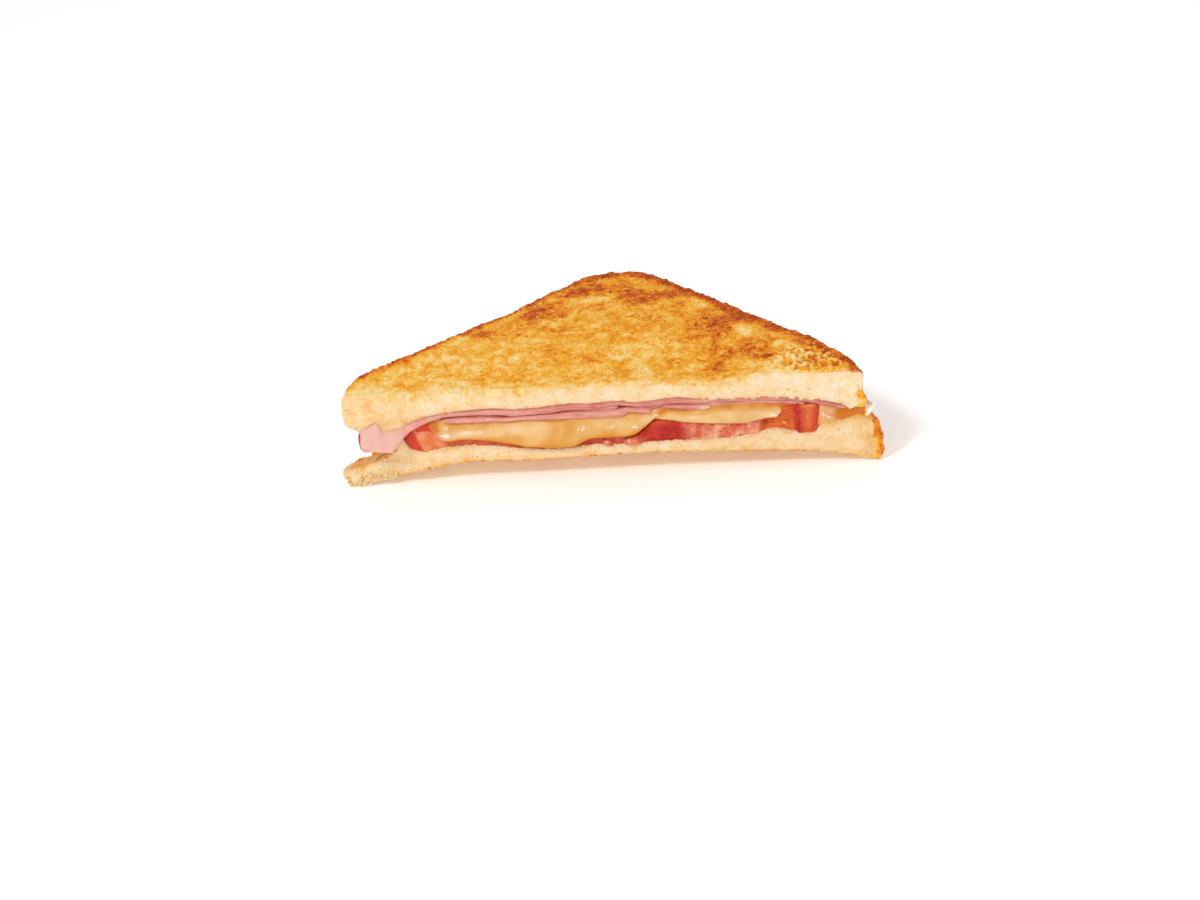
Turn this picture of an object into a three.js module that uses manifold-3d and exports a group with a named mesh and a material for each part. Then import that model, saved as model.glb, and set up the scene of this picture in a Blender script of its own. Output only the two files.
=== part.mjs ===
// Half of a toasted ham, cheese and tomato sandwich, cut corner to corner.
// Millimetres, +Z up. The cut face looks along -Y with its long edge along X, and the slices'
// rounded corner points along +Y. Every layer is one closed body that runs through the food.
//
// Each layer is a slab between two height functions, trimmed to its outline seen from above.
// All slabs bend at the same grid of places, so neighbours nest and keep their clearance.

import * as THREE from 'three';
import { mergeVertices } from 'three/addons/utils/BufferGeometryUtils.js';
import Module from 'manifold-3d';

const wasm = await Module();
wasm.setup();

// ---------- driving dimensions ----------

const SLICE_SIDE = 115; // side of the square slice of bread before it is cut
const REACH = SLICE_SIDE / Math.SQRT2; // from the cut to the slice's corner, before rounding

const TOAST_HEIGHT = 30.2; // top of the sandwich behind the cut
const TOAST_SLOPE = -0.0143; // the left end stands a little higher
const CRUST_GAP = [12.6, 17.8]; // heights between which the filling shows along the crusts
const FILLED_GAP = [9.7, 21.5]; // and over the middle, where the filling presses the crumb away
const CRUST_TO_FILLING = [0, 16]; // distances from the crust over which one becomes the other
const CUT_TO_INSIDE = [3, 30]; // distances behind the cut over which its profile evens out
const ARCH_FADE = [6, 36]; // and over which the arched underside comes down to the flat
const PRESSED_END = [-65, -54]; // the bottom slice's left corner is pressed thin, up to here
const PRESSED_DEPTH = [0, 12]; // from the cut to where it is thinnest
const PRESSED_HEIGHT = 4.4; // and its height there

const GAP = 0.3; // clearance between neighbouring layers
const HAM_THICKNESS = 0.95;
const HAM_PITCH = 1.2; // from one slice of ham to the next
const TOMATO_SHARE = 0.55; // of the height between crumb and ham that the tomato fills

// ---------- small helpers ----------

const { clamp, lerp, smoothstep } = THREE.MathUtils;

const between = ([from, to], value) => smoothstep(value, from, to);

// A smooth height along the cut, through a few [x, z] points.
function profile(points) {
  const slope = (i) => {
    const [a, b] = [points[Math.max(i - 1, 0)], points[Math.min(i + 1, points.length - 1)]];
    return (b[1] - a[1]) / (b[0] - a[0]);
  };
  return (x) => {
    const along = clamp(x, points[0][0], points.at(-1)[0]);
    const i = Math.max(points.findIndex((point) => point[0] >= along) - 1, 0);
    const [[x0, z0], [x1, z1]] = [points[i], points[i + 1]];
    const span = x1 - x0;
    const t = (along - x0) / span;
    const lean = slope(i) * t * (1 - t) ** 2 - slope(i + 1) * t ** 2 * (1 - t);
    return lerp(z0, z1, t * t * (3 - 2 * t)) + lean * span;
  };
}

// ---------- the layers' faces at the cut ----------

const toastAtCut = profile([
  [-74, 30.7], [-68, 29.8], [-57, 28.5], [-45, 29.6], [-34, 28.6], [-22, 28.4], [0, 28.8],
  [15, 28.5], [28.5, 27.4], [40, 28.2], [45, 29.2], [53, 30], [62, 29.5], [71, 29.2], [75, 28.3],
]);
const topCrumbAtCut = profile([
  [-74, 16.7], [-70.5, 17.1], [-66, 18.1], [-61.5, 16.9], [-58, 18.1], [-55, 19.6], [-51, 21.1],
  [-44, 22.1],
  [-32, 22.7], [-23, 22], [-10, 22.9], [-1, 22.6], [4, 23.2], [11, 22.1], [20, 23.2],
  [31, 22.1], [50, 21.8], [61, 20.1], [70, 17.6], [75, 17.3],
]);
const bottomCrumbAtCut = profile([
  [-77, 5], [-74, 6.2], [-70, 7], [-64, 9.4], [-60.5, 11.6], [-58.5, 12.1], [-54, 10.2],
  [-43, 11.4], [-33, 10.9], [-20, 9.2], [-11.5, 8.9], [-4, 9.7], [3, 9.3], [20, 9.5], [36, 9.9],
  [43, 10.6], [49, 11.6], [55, 10.2], [60, 10.2], [64, 12.9], [69, 13.9], [72, 14.6], [75, 15.1],
  [77, 13.9], [79, 12],
]);
const undersideAtCut = profile([
  [-77, 0.4], [-73, 0], [-66, 1.7], [-59, 2.6], [-50, 4.3], [-42, 5.7], [-22, 5.3], [0, 5.7],
  [18, 5.7], [38, 4.8], [59, 3.6], [70, 1.6], [76, 0], [79, 0],
]);
const leftTomatoAtCut = profile([
  [-58, 13.5], [-55, 16.1], [-51, 17.4], [-47, 17.2], [-30, 15.3], [6, 15],
]);
const rightTomatoAtCut = profile([
  [6, 10.9], [9.5, 11.9], [12.5, 14.4], [16, 16.5], [20, 15.9], [27, 14.7], [37, 14.1],
  [44, 14.7], [50, 15.6], [54.5, 17.2], [60.5, 17],
]);
const leftCheeseEdge = profile([
  [-48, 12.9], [-41.5, 13.4], [-36, 13.2], [-30, 12.3], [-22.5, 10.2], [-13, 9.6], [-9, 9.7],
  [-4, 11.7], [5, 11.8], [9.6, 12.7], [12.1, 14.5], [15.3, 17.2],
]);

// ---------- the same faces through the whole half ----------

const fromCrust = (x, y) => (REACH - Math.abs(x) - y) / Math.SQRT2;

function behindCut(atCut, atCrust, overFilling) {
  return (x, y) => {
    const inside = lerp(atCrust, overFilling, between(CRUST_TO_FILLING, fromCrust(x, y)));
    return lerp(atCut(x), inside, between(CUT_TO_INSIDE, y));
  };
}

const topCrumb = behindCut(topCrumbAtCut, CRUST_GAP[1], FILLED_GAP[1]);
const evenBottomCrumb = behindCut(bottomCrumbAtCut, CRUST_GAP[0], FILLED_GAP[0]);
const underside = (x, y) => undersideAtCut(x) * (1 - between(ARCH_FADE, y));

function bottomCrumb(x, y) {
  const pressed = (1 - between(PRESSED_END, x)) * between(PRESSED_DEPTH, y);
  return lerp(evenBottomCrumb(x, y), PRESSED_HEIGHT, pressed);
}

function toast(x, y) {
  return lerp(toastAtCut(x), TOAST_HEIGHT + TOAST_SLOPE * x, between(CUT_TO_INSIDE, y));
}

// Three slices of ham lie on each other, each smaller than the one above.
const HAMS = [
  { name: 'ham_top', left: -70.6, right: 69, inset: 2.5, front: -0.2 },
  { name: 'ham_middle', left: -48, right: 57.5, inset: 10, front: -0.5 },
  { name: 'ham_lower', left: -45, right: 30, inset: 14, front: 0.1 },
];
const SHEET_EASE = [-11, -5]; // distances past a slice of ham over which its thickness is felt

function hamCount(x, y) {
  const inside = ({ left, right, inset }) =>
    Math.min(x - left, right - x, fromCrust(x, y) - inset);
  const felt = HAMS.map((ham) => between(SHEET_EASE, inside(ham)));
  return felt.reduce((sum, share) => sum + share, 0);
}

const hamUnderside = (x, y) => topCrumb(x, y) - GAP - HAM_PITCH * hamCount(x, y);

// ---------- outlines, seen from above ----------

// A polygon whose corners are [x, y, rounding]: each side stops that far short of its corner,
// and one curve takes it into the next side.
function roundedShape(corners) {
  const shape = new THREE.Shape();
  corners.forEach(([x, y, rounding], i) => {
    const corner = new THREE.Vector2(x, y);
    const towards = ([nextX, nextY]) => {
      const side = new THREE.Vector2(nextX, nextY).sub(corner);
      return corner.clone().addScaledVector(side, rounding / side.length());
    };
    const start = towards(corners.at(i - 1));
    const end = towards(corners[(i + 1) % corners.length]);
    if (i === 0) shape.moveTo(start.x, start.y);
    else shape.lineTo(start.x, start.y);
    if (rounding) shape.quadraticCurveTo(x, y, end.x, end.y);
  });
  return shape;
}

// A quarter of a square slice on each side of X = 0, drawn past the cut as the whole slice was.
function sliceShape({ left, right, tip, cornerRounding, tipRounding }) {
  const pastCut = -8;
  return roundedShape([
    [left, pastCut, 0],
    [right, pastCut, 0],
    [right, tip - right, cornerRounding],
    [0, tip, tipRounding],
    [left, tip + left, cornerRounding],
  ]);
}

// A sheet of filling, kept back from the crusts and cut square at its two ends.
function fillingShape({ left, right, inset, front }) {
  const tip = REACH - inset * Math.SQRT2;
  return roundedShape([
    [left, front, 0],
    [right, front, 0],
    [right, tip - right, 4],
    [0, tip, 16],
    [left, tip + left, 4],
  ]);
}

function halfDiscShape({ left, right, depth }, front, grow) {
  const radius = (right - left) / 2 + grow;
  const shape = new THREE.Shape();
  shape.absellipse((left + right) / 2, front, radius, depth + 2 * grow, 0, Math.PI);
  return shape;
}

// ---------- closed bodies ----------

function solid(geometry) {
  geometry.deleteAttribute('normal');
  geometry.deleteAttribute('uv');
  const merged = mergeVertices(geometry, 1e-5);
  return new wasm.Manifold(new wasm.Mesh({
    numProp: 3,
    vertProperties: merged.getAttribute('position').array,
    triVerts: Uint32Array.from(merged.index.array),
  }));
}

function geometryOf(body) {
  const mesh = body.getMesh();
  const geometry = new THREE.BufferGeometry();
  geometry.setAttribute('position', new THREE.BufferAttribute(mesh.vertProperties, mesh.numProp));
  geometry.setIndex(new THREE.BufferAttribute(mesh.triVerts, 1));
  return geometry;
}

const COLUMN_STEP = 3.5; // grid spacing along the cut
const HALF_COLUMNS = 23;
const COLUMNS = Array.from({ length: 2 * HALF_COLUMNS + 1 }, (_, i) => (i - HALF_COLUMNS) * COLUMN_STEP);
const BACK_ROWS = [3, 9, 16, 24, 34, 46, 60, 90]; // distances behind the cut

// A closed slab between two heights over the grid, from the first of its front rows backwards.
function slab(upper, lower, frontRows) {
  const rows = [...frontRows, ...BACK_ROWS];
  const places = rows.flatMap((y) => COLUMNS.map((x) => [x, y]));
  const least = 0.2;
  const low = places.map(([x, y]) => [x, y, Math.min(lower(x, y), upper(x, y) - least)]);
  const high = places.map(([x, y]) => [x, y, upper(x, y)]);
  const wide = COLUMNS.length;
  const under = places.length;
  const faces = [];
  for (let row = 0; row < rows.length - 1; row += 1) {
    for (let column = 0; column < wide - 1; column += 1) {
      const a = row * wide + column;
      const [b, c, d] = [a + 1, a + wide + 1, a + wide];
      faces.push(a, b, c, a, c, d);
      faces.push(under + a, under + c, under + b, under + a, under + d, under + c);
    }
  }
  const rim = [];
  for (let column = 0; column < wide - 1; column += 1) rim.push(column);
  for (let row = 0; row < rows.length - 1; row += 1) rim.push(row * wide + wide - 1);
  for (let column = wide - 1; column > 0; column -= 1) rim.push((rows.length - 1) * wide + column);
  for (let row = rows.length - 1; row > 0; row -= 1) rim.push(row * wide);
  rim.forEach((a, i) => {
    const b = rim[(i + 1) % rim.length];
    faces.push(a, under + a, under + b, a, under + b, b);
  });
  const geometry = new THREE.BufferGeometry();
  geometry.setAttribute('position', new THREE.Float32BufferAttribute([...high, ...low].flat(), 3));
  geometry.setIndex(faces);
  return solid(geometry);
}

function column(shape) {
  const depth = TOAST_HEIGHT + 10;
  return solid(new THREE.ExtrudeGeometry(shape, { depth, bevelEnabled: false, curveSegments: 4 }));
}

// A loaf-like body inside whose crust a slice is cut: [inset, height] steps up a rounded side.
function loaf(shape, steps) {
  const middle = new THREE.Vector2(0, 25);
  const outline = shape.getPoints(5);
  const count = outline.length;
  const positions = [middle.x, middle.y, steps[0][1], middle.x, middle.y, steps.at(-1)[1]];
  steps.forEach(([inset, height]) => {
    outline.forEach((point) => {
      const out = point.clone().sub(middle);
      const place = out.setLength(out.length() - inset).add(middle);
      positions.push(place.x, place.y, height);
    });
  });
  const faces = [];
  const at = (step, i) => 2 + step * count + (i % count);
  for (let i = 0; i < count; i += 1) {
    faces.push(0, at(0, i + 1), at(0, i), 1, at(steps.length - 1, i), at(steps.length - 1, i + 1));
    for (let step = 0; step < steps.length - 1; step += 1) {
      faces.push(at(step, i), at(step, i + 1), at(step + 1, i + 1));
      faces.push(at(step, i), at(step + 1, i + 1), at(step + 1, i));
    }
  }
  const geometry = new THREE.BufferGeometry();
  geometry.setAttribute('position', new THREE.Float32BufferAttribute(positions, 3));
  geometry.setIndex(faces);
  return solid(geometry);
}

// ---------- the pieces ----------

const CUT_ROW = [0];

function breadTop() {
  const shape = sliceShape({ left: -73.8, right: 74.6, tip: REACH, cornerRounding: 7, tipRounding: 17 });
  const crust = [[3.2, 15.5], [1.4, 18], [0.4, 20.5], [0, 24], [0.5, 27.5], [1.7, 29.6], [4.2, 31.4]];
  return slab(toast, topCrumb, CUT_ROW).intersect(loaf(shape, crust));
}

function breadBottom() {
  const shape = sliceShape({ left: -77, right: 79, tip: REACH, cornerRounding: 4, tipRounding: 17 });
  const crust = [[2.4, -0.5], [0.6, 1.2], [0, 3], [0, 8], [0.9, 12], [2.4, 14], [5, 16]];
  return slab(bottomCrumb, underside, CUT_ROW).intersect(loaf(shape, crust));
}

const TONGUE = { sideTo: -1.9, flatFrom: -67.8, flatTo: -61, right: -48, out: 4.2, droop: 3.3 };

// The top slice of ham pokes out of the cut on the left, and its loose end droops.
function hamTopShape({ left, right, inset, front }) {
  const tip = REACH - inset * Math.SQRT2;
  return roundedShape([
    [left, TONGUE.sideTo, 1.5],
    [TONGUE.flatFrom, -TONGUE.out, 1.7],
    [TONGUE.flatTo, -TONGUE.out, 3],
    [TONGUE.right, front, 3],
    [right, front, 0],
    [right, tip - right, 2],
    [0, tip, 16],
    [left, tip + left, 2],
  ]);
}

function hamSlice(ham, order) {
  const isTop = order === 0;
  const shape = isTop ? hamTopShape(ham) : fillingShape(ham);
  const hanging = (y) => (isTop ? TONGUE.droop * (Math.max(-y, 0) / TONGUE.out) ** 1.3 : 0);
  const upper = (x, y) => topCrumb(x, y) - GAP - order * HAM_PITCH - hanging(y);
  const lower = (x, y) => upper(x, y) - HAM_THICKNESS;
  return slab(upper, lower, isTop ? [-5, -3.3, -1.6, 0] : [-1]).intersect(column(shape));
}

const TOMATOES = {
  tomato_left: { left: -58, right: 5.4, depth: 31, atCut: leftTomatoAtCut },
  tomato_right: { left: 5.8, right: 60.5, depth: 27, atCut: rightTomatoAtCut },
};
const TOMATO_FRONT = 0.7; // the tomato stops this far behind the cut

// Half a slice of tomato. Grown by the clearance, it is the hollow that the cheese leaves.
function tomatoSlice({ left, right, depth, atCut }, grow = 0) {
  const upper = (x, y) => {
    const share = lerp(bottomCrumb(x, y) + GAP, hamUnderside(x, y), TOMATO_SHARE);
    return lerp(atCut(x), share, between([3, 14], y)) + grow;
  };
  const lower = (x, y) => bottomCrumb(x, y) + GAP - 2 * grow;
  const shape = halfDiscShape({ left, right, depth }, TOMATO_FRONT - grow, grow);
  return slab(upper, lower, [-1]).intersect(column(shape));
}

const CURTAIN_OUT = 1.5; // melted cheese swells this far out of the cut
const CURTAIN_ROWS = [-3, 0.3, 0.42]; // it hangs down in front of the second of these rows
const CHEESE_INSET = 1.8; // along the crusts it shows between the slices
const CHEESE_SPLIT = 15.5; // where the two slices of cheese meet
const CHEESE_LEFT_END = -49;
const CHEESE_FLAP = 77.4; // the thin end that pokes out on the right

function cheeseSlice(shape, hangsTo) {
  const floor = (x, y) => bottomCrumb(x, y) + GAP;
  const lower = (x, y) => (y < 0.35 ? Math.max(hangsTo(x), floor(x, 0)) : floor(x, y));
  const upper = (x, y) => hamUnderside(x, Math.max(y, 0));
  const melted = slab(upper, lower, CURTAIN_ROWS).intersect(column(shape));
  return Object.values(TOMATOES).reduce((left, tomato) => left.subtract(tomatoSlice(tomato, GAP)), melted);
}

function cheeseLeft() {
  const place = { left: CHEESE_LEFT_END, right: CHEESE_SPLIT - GAP / 2 };
  const shape = fillingShape({ ...place, inset: CHEESE_INSET, front: -CURTAIN_OUT });
  return cheeseSlice(shape, leftCheeseEdge);
}

function cheeseRight() {
  const tip = REACH - CHEESE_INSET * Math.SQRT2;
  const left = CHEESE_SPLIT + GAP / 2;
  const shape = roundedShape([
    [left, -CURTAIN_OUT, 0],
    [CHEESE_FLAP, -CURTAIN_OUT, 1.5],
    [CHEESE_FLAP, tip - CHEESE_FLAP + 3, 2],
    [left, tip - left, 3],
  ]);
  const { right, atCut } = TOMATOES.tomato_right;
  return cheeseSlice(shape, (x) => (x < right ? atCut(x) + GAP : 0));
}

// ---------- finishes and assembly ----------

const FINISHES = {
  toast: { color: 0xf0a942, roughness: 0.85 },
  crumb: { color: 0xf0cf9c, roughness: 0.9 },
  ham: { color: 0xe2a394, roughness: 0.45 },
  cheese: { color: 0xefbc74, roughness: 0.3 },
  tomato: { color: 0xcc4530, roughness: 0.25 },
};

function piece(name, body, finish) {
  const material = new THREE.MeshStandardMaterial({ ...FINISHES[finish], metalness: 0 });
  const mesh = new THREE.Mesh(geometryOf(body), material);
  mesh.name = name;
  return mesh;
}

const sandwich = new THREE.Group();
sandwich.add(piece('bread_bottom', breadBottom(), 'crumb'));
Object.entries(TOMATOES).forEach(([name, tomato]) => {
  sandwich.add(piece(name, tomatoSlice(tomato), 'tomato'));
});
sandwich.add(piece('cheese_left', cheeseLeft(), 'cheese'));
sandwich.add(piece('cheese_right', cheeseRight(), 'cheese'));
HAMS.forEach((ham, order) => sandwich.add(piece(ham.name, hamSlice(ham, order), 'ham')));
sandwich.add(piece('bread_top', breadTop(), 'toast'));

// The origin is the middle of the sandwich's box, on the surface that it rests on.
const box = new THREE.Box3().setFromObject(sandwich);
const middle = box.getCenter(new THREE.Vector3());
sandwich.position.set(-middle.x, -middle.y, -box.min.z);

export default sandwich;
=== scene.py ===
"""Half of a toasted ham, cheese and tomato sandwich: its finished surfaces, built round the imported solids."""

import math
import random

import bmesh
import bpy
from mathutils import Matrix, Vector, noise
from mathutils.bvhtree import BVHTree


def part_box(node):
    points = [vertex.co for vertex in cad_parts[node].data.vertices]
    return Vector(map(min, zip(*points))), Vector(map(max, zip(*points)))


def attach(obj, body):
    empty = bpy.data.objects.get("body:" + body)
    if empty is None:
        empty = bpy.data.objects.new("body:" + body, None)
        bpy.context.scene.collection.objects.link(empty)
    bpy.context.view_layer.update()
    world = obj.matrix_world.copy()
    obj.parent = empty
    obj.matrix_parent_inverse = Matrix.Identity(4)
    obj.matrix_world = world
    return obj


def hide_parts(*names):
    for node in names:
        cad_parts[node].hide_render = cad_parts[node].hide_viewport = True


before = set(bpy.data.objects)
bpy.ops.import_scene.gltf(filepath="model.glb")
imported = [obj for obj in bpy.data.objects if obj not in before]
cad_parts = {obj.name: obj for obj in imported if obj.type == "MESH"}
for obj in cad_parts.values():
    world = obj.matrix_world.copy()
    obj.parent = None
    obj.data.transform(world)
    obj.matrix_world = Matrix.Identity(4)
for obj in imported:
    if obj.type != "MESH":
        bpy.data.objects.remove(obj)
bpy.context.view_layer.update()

# ---------- places and sizes ----------

MM = 0.001
REACH = 81.3  # from the cut to the slices' corner before rounding, mm
TOP_LOW, TOP_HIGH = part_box("bread_top")
CUT_Y = TOP_LOW.y  # the knife's cut
LEFT_END, RIGHT_END = -73.8, 74.6  # ends of the top slice along the cut, mm
OFF_MIDDLE = 0.4  # how far the middle between those ends lies right of the cut's middle, mm
MID_X = (TOP_LOW.x + TOP_HIGH.x) / 2 - OFF_MIDDLE * MM
BACK_TIP = (TOP_HIGH.y - CUT_Y) / MM


def spot(x, y, z):
    """A place in metres, from millimetres along the cut, behind the cut and above the plate."""
    return Vector((MID_X + x * MM, CUT_Y + y * MM, z * MM))


def food_mm(place):
    """The same three distances in millimetres, from a place in metres."""
    return (place.x - MID_X) / MM, (place.y - CUT_Y) / MM, place.z / MM


def mix(low, high, share):
    return low + (high - low) * share


def ease(low, high, value):
    """0 at low, 1 at high, smooth between; low may be the larger."""
    share = min(max((value - low) / (high - low), 0.0), 1.0)
    return share * share * (3 - 2 * share)


def window(value, start, opened, closing, end):
    """1 from opened to closing, fading to 0 at start and end."""
    return ease(start, opened, value) * ease(end, closing, value)


def hump(value, middle, width):
    """1 at the middle, fading to 0 on both sides."""
    return math.exp(-((value - middle) / width) ** 2)


def glow(x, z, px, pz, wide, high):
    """1 at a place, fading to 0 round it."""
    return math.exp(-((x - px) / wide) ** 2 - ((z - pz) / high) ** 2)


def rounded(share):
    """The rise of a round nose, from 0 at its tip to 1 at a share of 1 and past it."""
    return math.sqrt(max(0.0, 1 - (1 - min(share, 1.0)) ** 2))


def curve(points):
    """A smooth height through a few (x, z) points."""
    def height(x):
        if x <= points[0][0]:
            return points[0][1]
        for i in range(len(points) - 1):
            (x0, z0), (x1, z1) = points[i], points[i + 1]
            if x <= x1:
                before, after = points[max(i - 1, 0)], points[min(i + 2, len(points) - 1)]
                slope0 = (z1 - before[1]) / (x1 - before[0])
                slope1 = (after[1] - z0) / (after[0] - x0)
                t, span = (x - x0) / (x1 - x0), x1 - x0
                lean = slope0 * t * (1 - t) ** 2 - slope1 * t * t * (1 - t)
                return mix(z0, z1, t * t * (3 - 2 * t)) + lean * span
        return points[-1][1]
    return height


def solid_tree(node):
    return BVHTree.FromObject(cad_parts[node], bpy.context.evaluated_depsgraph_get())


TREES = {name: solid_tree(name) for name in ("bread_top", "bread_bottom")}


OVER, UNDER = 60, -20  # heights clear of the sandwich, where the rays start, mm
END_MARGIN = 1.5  # the faces against the filling are read this far in from the ends, mm
GROUND_LEVEL, CEILING_LEVEL = 16.0, 17.5  # their heights where a ray finds neither, mm


def face_height(node, x, y, from_above):
    """Height in mm of a slice's upper or lower face, or None beside the slice."""
    start = spot(x, max(y, 0.05), OVER if from_above else UNDER)
    hit = TREES[node].ray_cast(start, Vector((0, 0, -1 if from_above else 1)))[0]
    return None if hit is None else hit.z / MM


def crumb_face(node, from_above, x, y):
    """The slice's face against the filling, evened out between the solid's facets."""
    x = min(max(x, LEFT_END + END_MARGIN), RIGHT_END - END_MARGIN)
    heights = [face_height(node, x + step, y, from_above) for step in (-1.0, 0, 1.0)]
    known = [height for height in heights if height is not None]
    return sum(known) / len(known) if known else (GROUND_LEVEL if from_above else CEILING_LEVEL)


def ceiling(x, y):
    return crumb_face("bread_top", False, x, y)


def ground(x, y):
    return crumb_face("bread_bottom", True, x, y)


TIP_BLEND = 14  # length over which the crust sides turn into the back tip, mm


def crust_distance(x, y, left=LEFT_END, right=RIGHT_END):
    """Distance in mm in from a slice's outline, apart from the cut."""
    legs, tip = (REACH - abs(x) - y) / math.sqrt(2), BACK_TIP - y
    blunted = max(TIP_BLEND - abs(legs - tip), 0) ** 2 / (4 * TIP_BLEND)
    return min(min(legs, tip) - blunted, x - left, right - x)


# ---------- colours and shader helpers ----------

def paint(red, green, blue):
    """A colour given in 0 to 255 as seen, for shader sockets."""
    def linear(value):
        value /= 255
        return value / 12.92 if value <= 0.04045 else ((value + 0.055) / 1.055) ** 2.4
    return (linear(red), linear(green), linear(blue), 1.0)


def fill(tree, sockets, inputs):
    for key, value in inputs.items():
        if isinstance(value, bpy.types.NodeSocket):
            tree.links.new(value, sockets[key])
        else:
            sockets[key].default_value = value


def add(tree, kind, inputs=(), **settings):
    """A shader node with its settings, and sockets filled by values or by links."""
    made = tree.nodes.new(kind)
    for key, value in settings.items():
        setattr(made, key, value)
    fill(tree, made.inputs, dict(inputs))
    return made


def maths(tree, operation, first, second=0.0, third=0.0, clamp=False):
    inputs = {0: first, 1: second, 2: third}
    return add(tree, "ShaderNodeMath", inputs, operation=operation, use_clamp=clamp).outputs[0]


def times(tree, first, second):
    return maths(tree, "MULTIPLY", first, second)


def blend_colours(tree, share, first, second, how="MIX"):
    made = add(tree, "ShaderNodeMix", data_type="RGBA", blend_type=how)
    fill(tree, made.inputs, {0: share, 6: first, 7: second})
    return made.outputs[2]


def band(tree, value, low, high):
    """0 below low and 1 above high, with a soft change between."""
    inputs = {"Value": value, "From Min": low, "From Max": high}
    return add(tree, "ShaderNodeMapRange", inputs, interpolation_type="SMOOTHSTEP").outputs[0]


def cloud(tree, vector, scale, detail=2.0, roughness=0.5, distortion=0.0):
    inputs = {"Vector": vector, "Scale": scale, "Detail": detail, "Roughness": roughness,
              "Distortion": distortion}
    return add(tree, "ShaderNodeTexNoise", inputs).outputs["Fac"]


def cell_distance(tree, vector, scale):
    inputs = {"Vector": vector, "Scale": scale}
    return add(tree, "ShaderNodeTexVoronoi", inputs, feature="F1").outputs["Distance"]


def ramp(tree, value, stops):
    """Colours along a value, from stops that each give a share and a colour in 0 to 255."""
    made = add(tree, "ShaderNodeValToRGB", {"Fac": value})
    elements = made.color_ramp.elements
    while len(elements) < len(stops):
        elements.new(0.5)
    for element, (place, colour) in zip(elements, stops):
        element.position, element.color = place, paint(*colour)
    return made.outputs["Color"]


def object_place(tree):
    return add(tree, "ShaderNodeTexCoord").outputs["Object"]


def attribute(tree, name):
    return add(tree, "ShaderNodeAttribute", attribute_name=name).outputs["Fac"]


def new_group(name, inputs, outputs):
    """A node group, and the sockets inside it that give its inputs and take its outputs."""
    group = bpy.data.node_groups.new(name, "ShaderNodeTree")
    for socket, kind, default in inputs:
        made = group.interface.new_socket(socket, in_out="INPUT", socket_type=kind)
        if default is not None:
            made.default_value = default
    for socket, kind in outputs:
        group.interface.new_socket(socket, in_out="OUTPUT", socket_type=kind)
    return group, add(group, "NodeGroupInput").outputs, add(group, "NodeGroupOutput").inputs


def use_group(tree, group, inputs):
    made = add(tree, "ShaderNodeGroup", node_tree=group)
    fill(tree, made.inputs, inputs)
    return made.outputs


VECTOR, FLOAT, COLOUR = "NodeSocketVector", "NodeSocketFloat", "NodeSocketColor"


def browning_group():
    """Pan-toasted bread: golden, with orange-brown blotches, fine grain, scorched spots and pale glints."""
    inputs = [("Place", VECTOR, None), ("Level", FLOAT, 0.4)]
    group, given, wanted = new_group("browning", inputs, [("Colour", COLOUR), ("Height", FLOAT)])
    place = given["Place"]
    total = given["Level"]
    # Mottling from coarse to fine: scale, detail, roughness, distortion and weight.
    layers = [(120, 3, 0.6, 0.8, 0.85), (330, 3, 0.6, 0.6, 0.9), (1100, 3, 0.65, 0.0, 0.85),
              (3000, 2, 0.6, 0.0, 0.65)]
    clouds = []
    for scale, detail, roughness, distortion, weight in layers:
        made = cloud(group, place, scale, detail, roughness, distortion)
        clouds.append(made)
        total = maths(group, "MULTIPLY_ADD", maths(group, "SUBTRACT", made, 0.5), weight, total)
    scorch = times(group, band(group, cloud(group, place, 520, 4, 0.7, 0.4), 0.5, 0.62), 0.34)
    total = maths(group, "MULTIPLY_ADD", scorch, band(group, given["Level"], 0.36, 0.58), total)
    stops = [(0.0, (251, 221, 158)), (0.16, (249, 203, 112)), (0.32, (246, 177, 50)),
             (0.48, (236, 148, 28)), (0.62, (220, 114, 26)), (0.76, (202, 90, 24)),
             (0.9, (184, 76, 20)), (1.0, (166, 66, 20))]
    colour = ramp(group, maths(group, "ADD", total, 0.0, clamp=True), stops)
    # Painted highlights: fine pale glints mixed into the toast's colour; the pale pores are the crumb's own.
    glint = band(group, cloud(group, place, 2300, 2, 0.5), 0.6, 0.7)
    pale_pore = band(group, cloud(group, place, 800, 3, 0.6, 0.5), 0.62, 0.7)
    pale_pore = times(group, pale_pore, band(group, given["Level"], 0.3, 0.46))
    light = maths(group, "ADD", times(group, glint, 0.22), pale_pore, clamp=True)
    light = times(group, light, band(group, total, 0.95, 0.6))
    colour = blend_colours(group, times(group, light, 0.8), colour, paint(252, 219, 150))
    height = maths(group, "MULTIPLY_ADD", clouds[2], 0.8, times(group, clouds[3], 0.35))
    height = maths(group, "MULTIPLY_ADD", clouds[1], 0.7, height)
    fill(group, wanted, {"Colour": colour, "Height": height})
    return group


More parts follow.
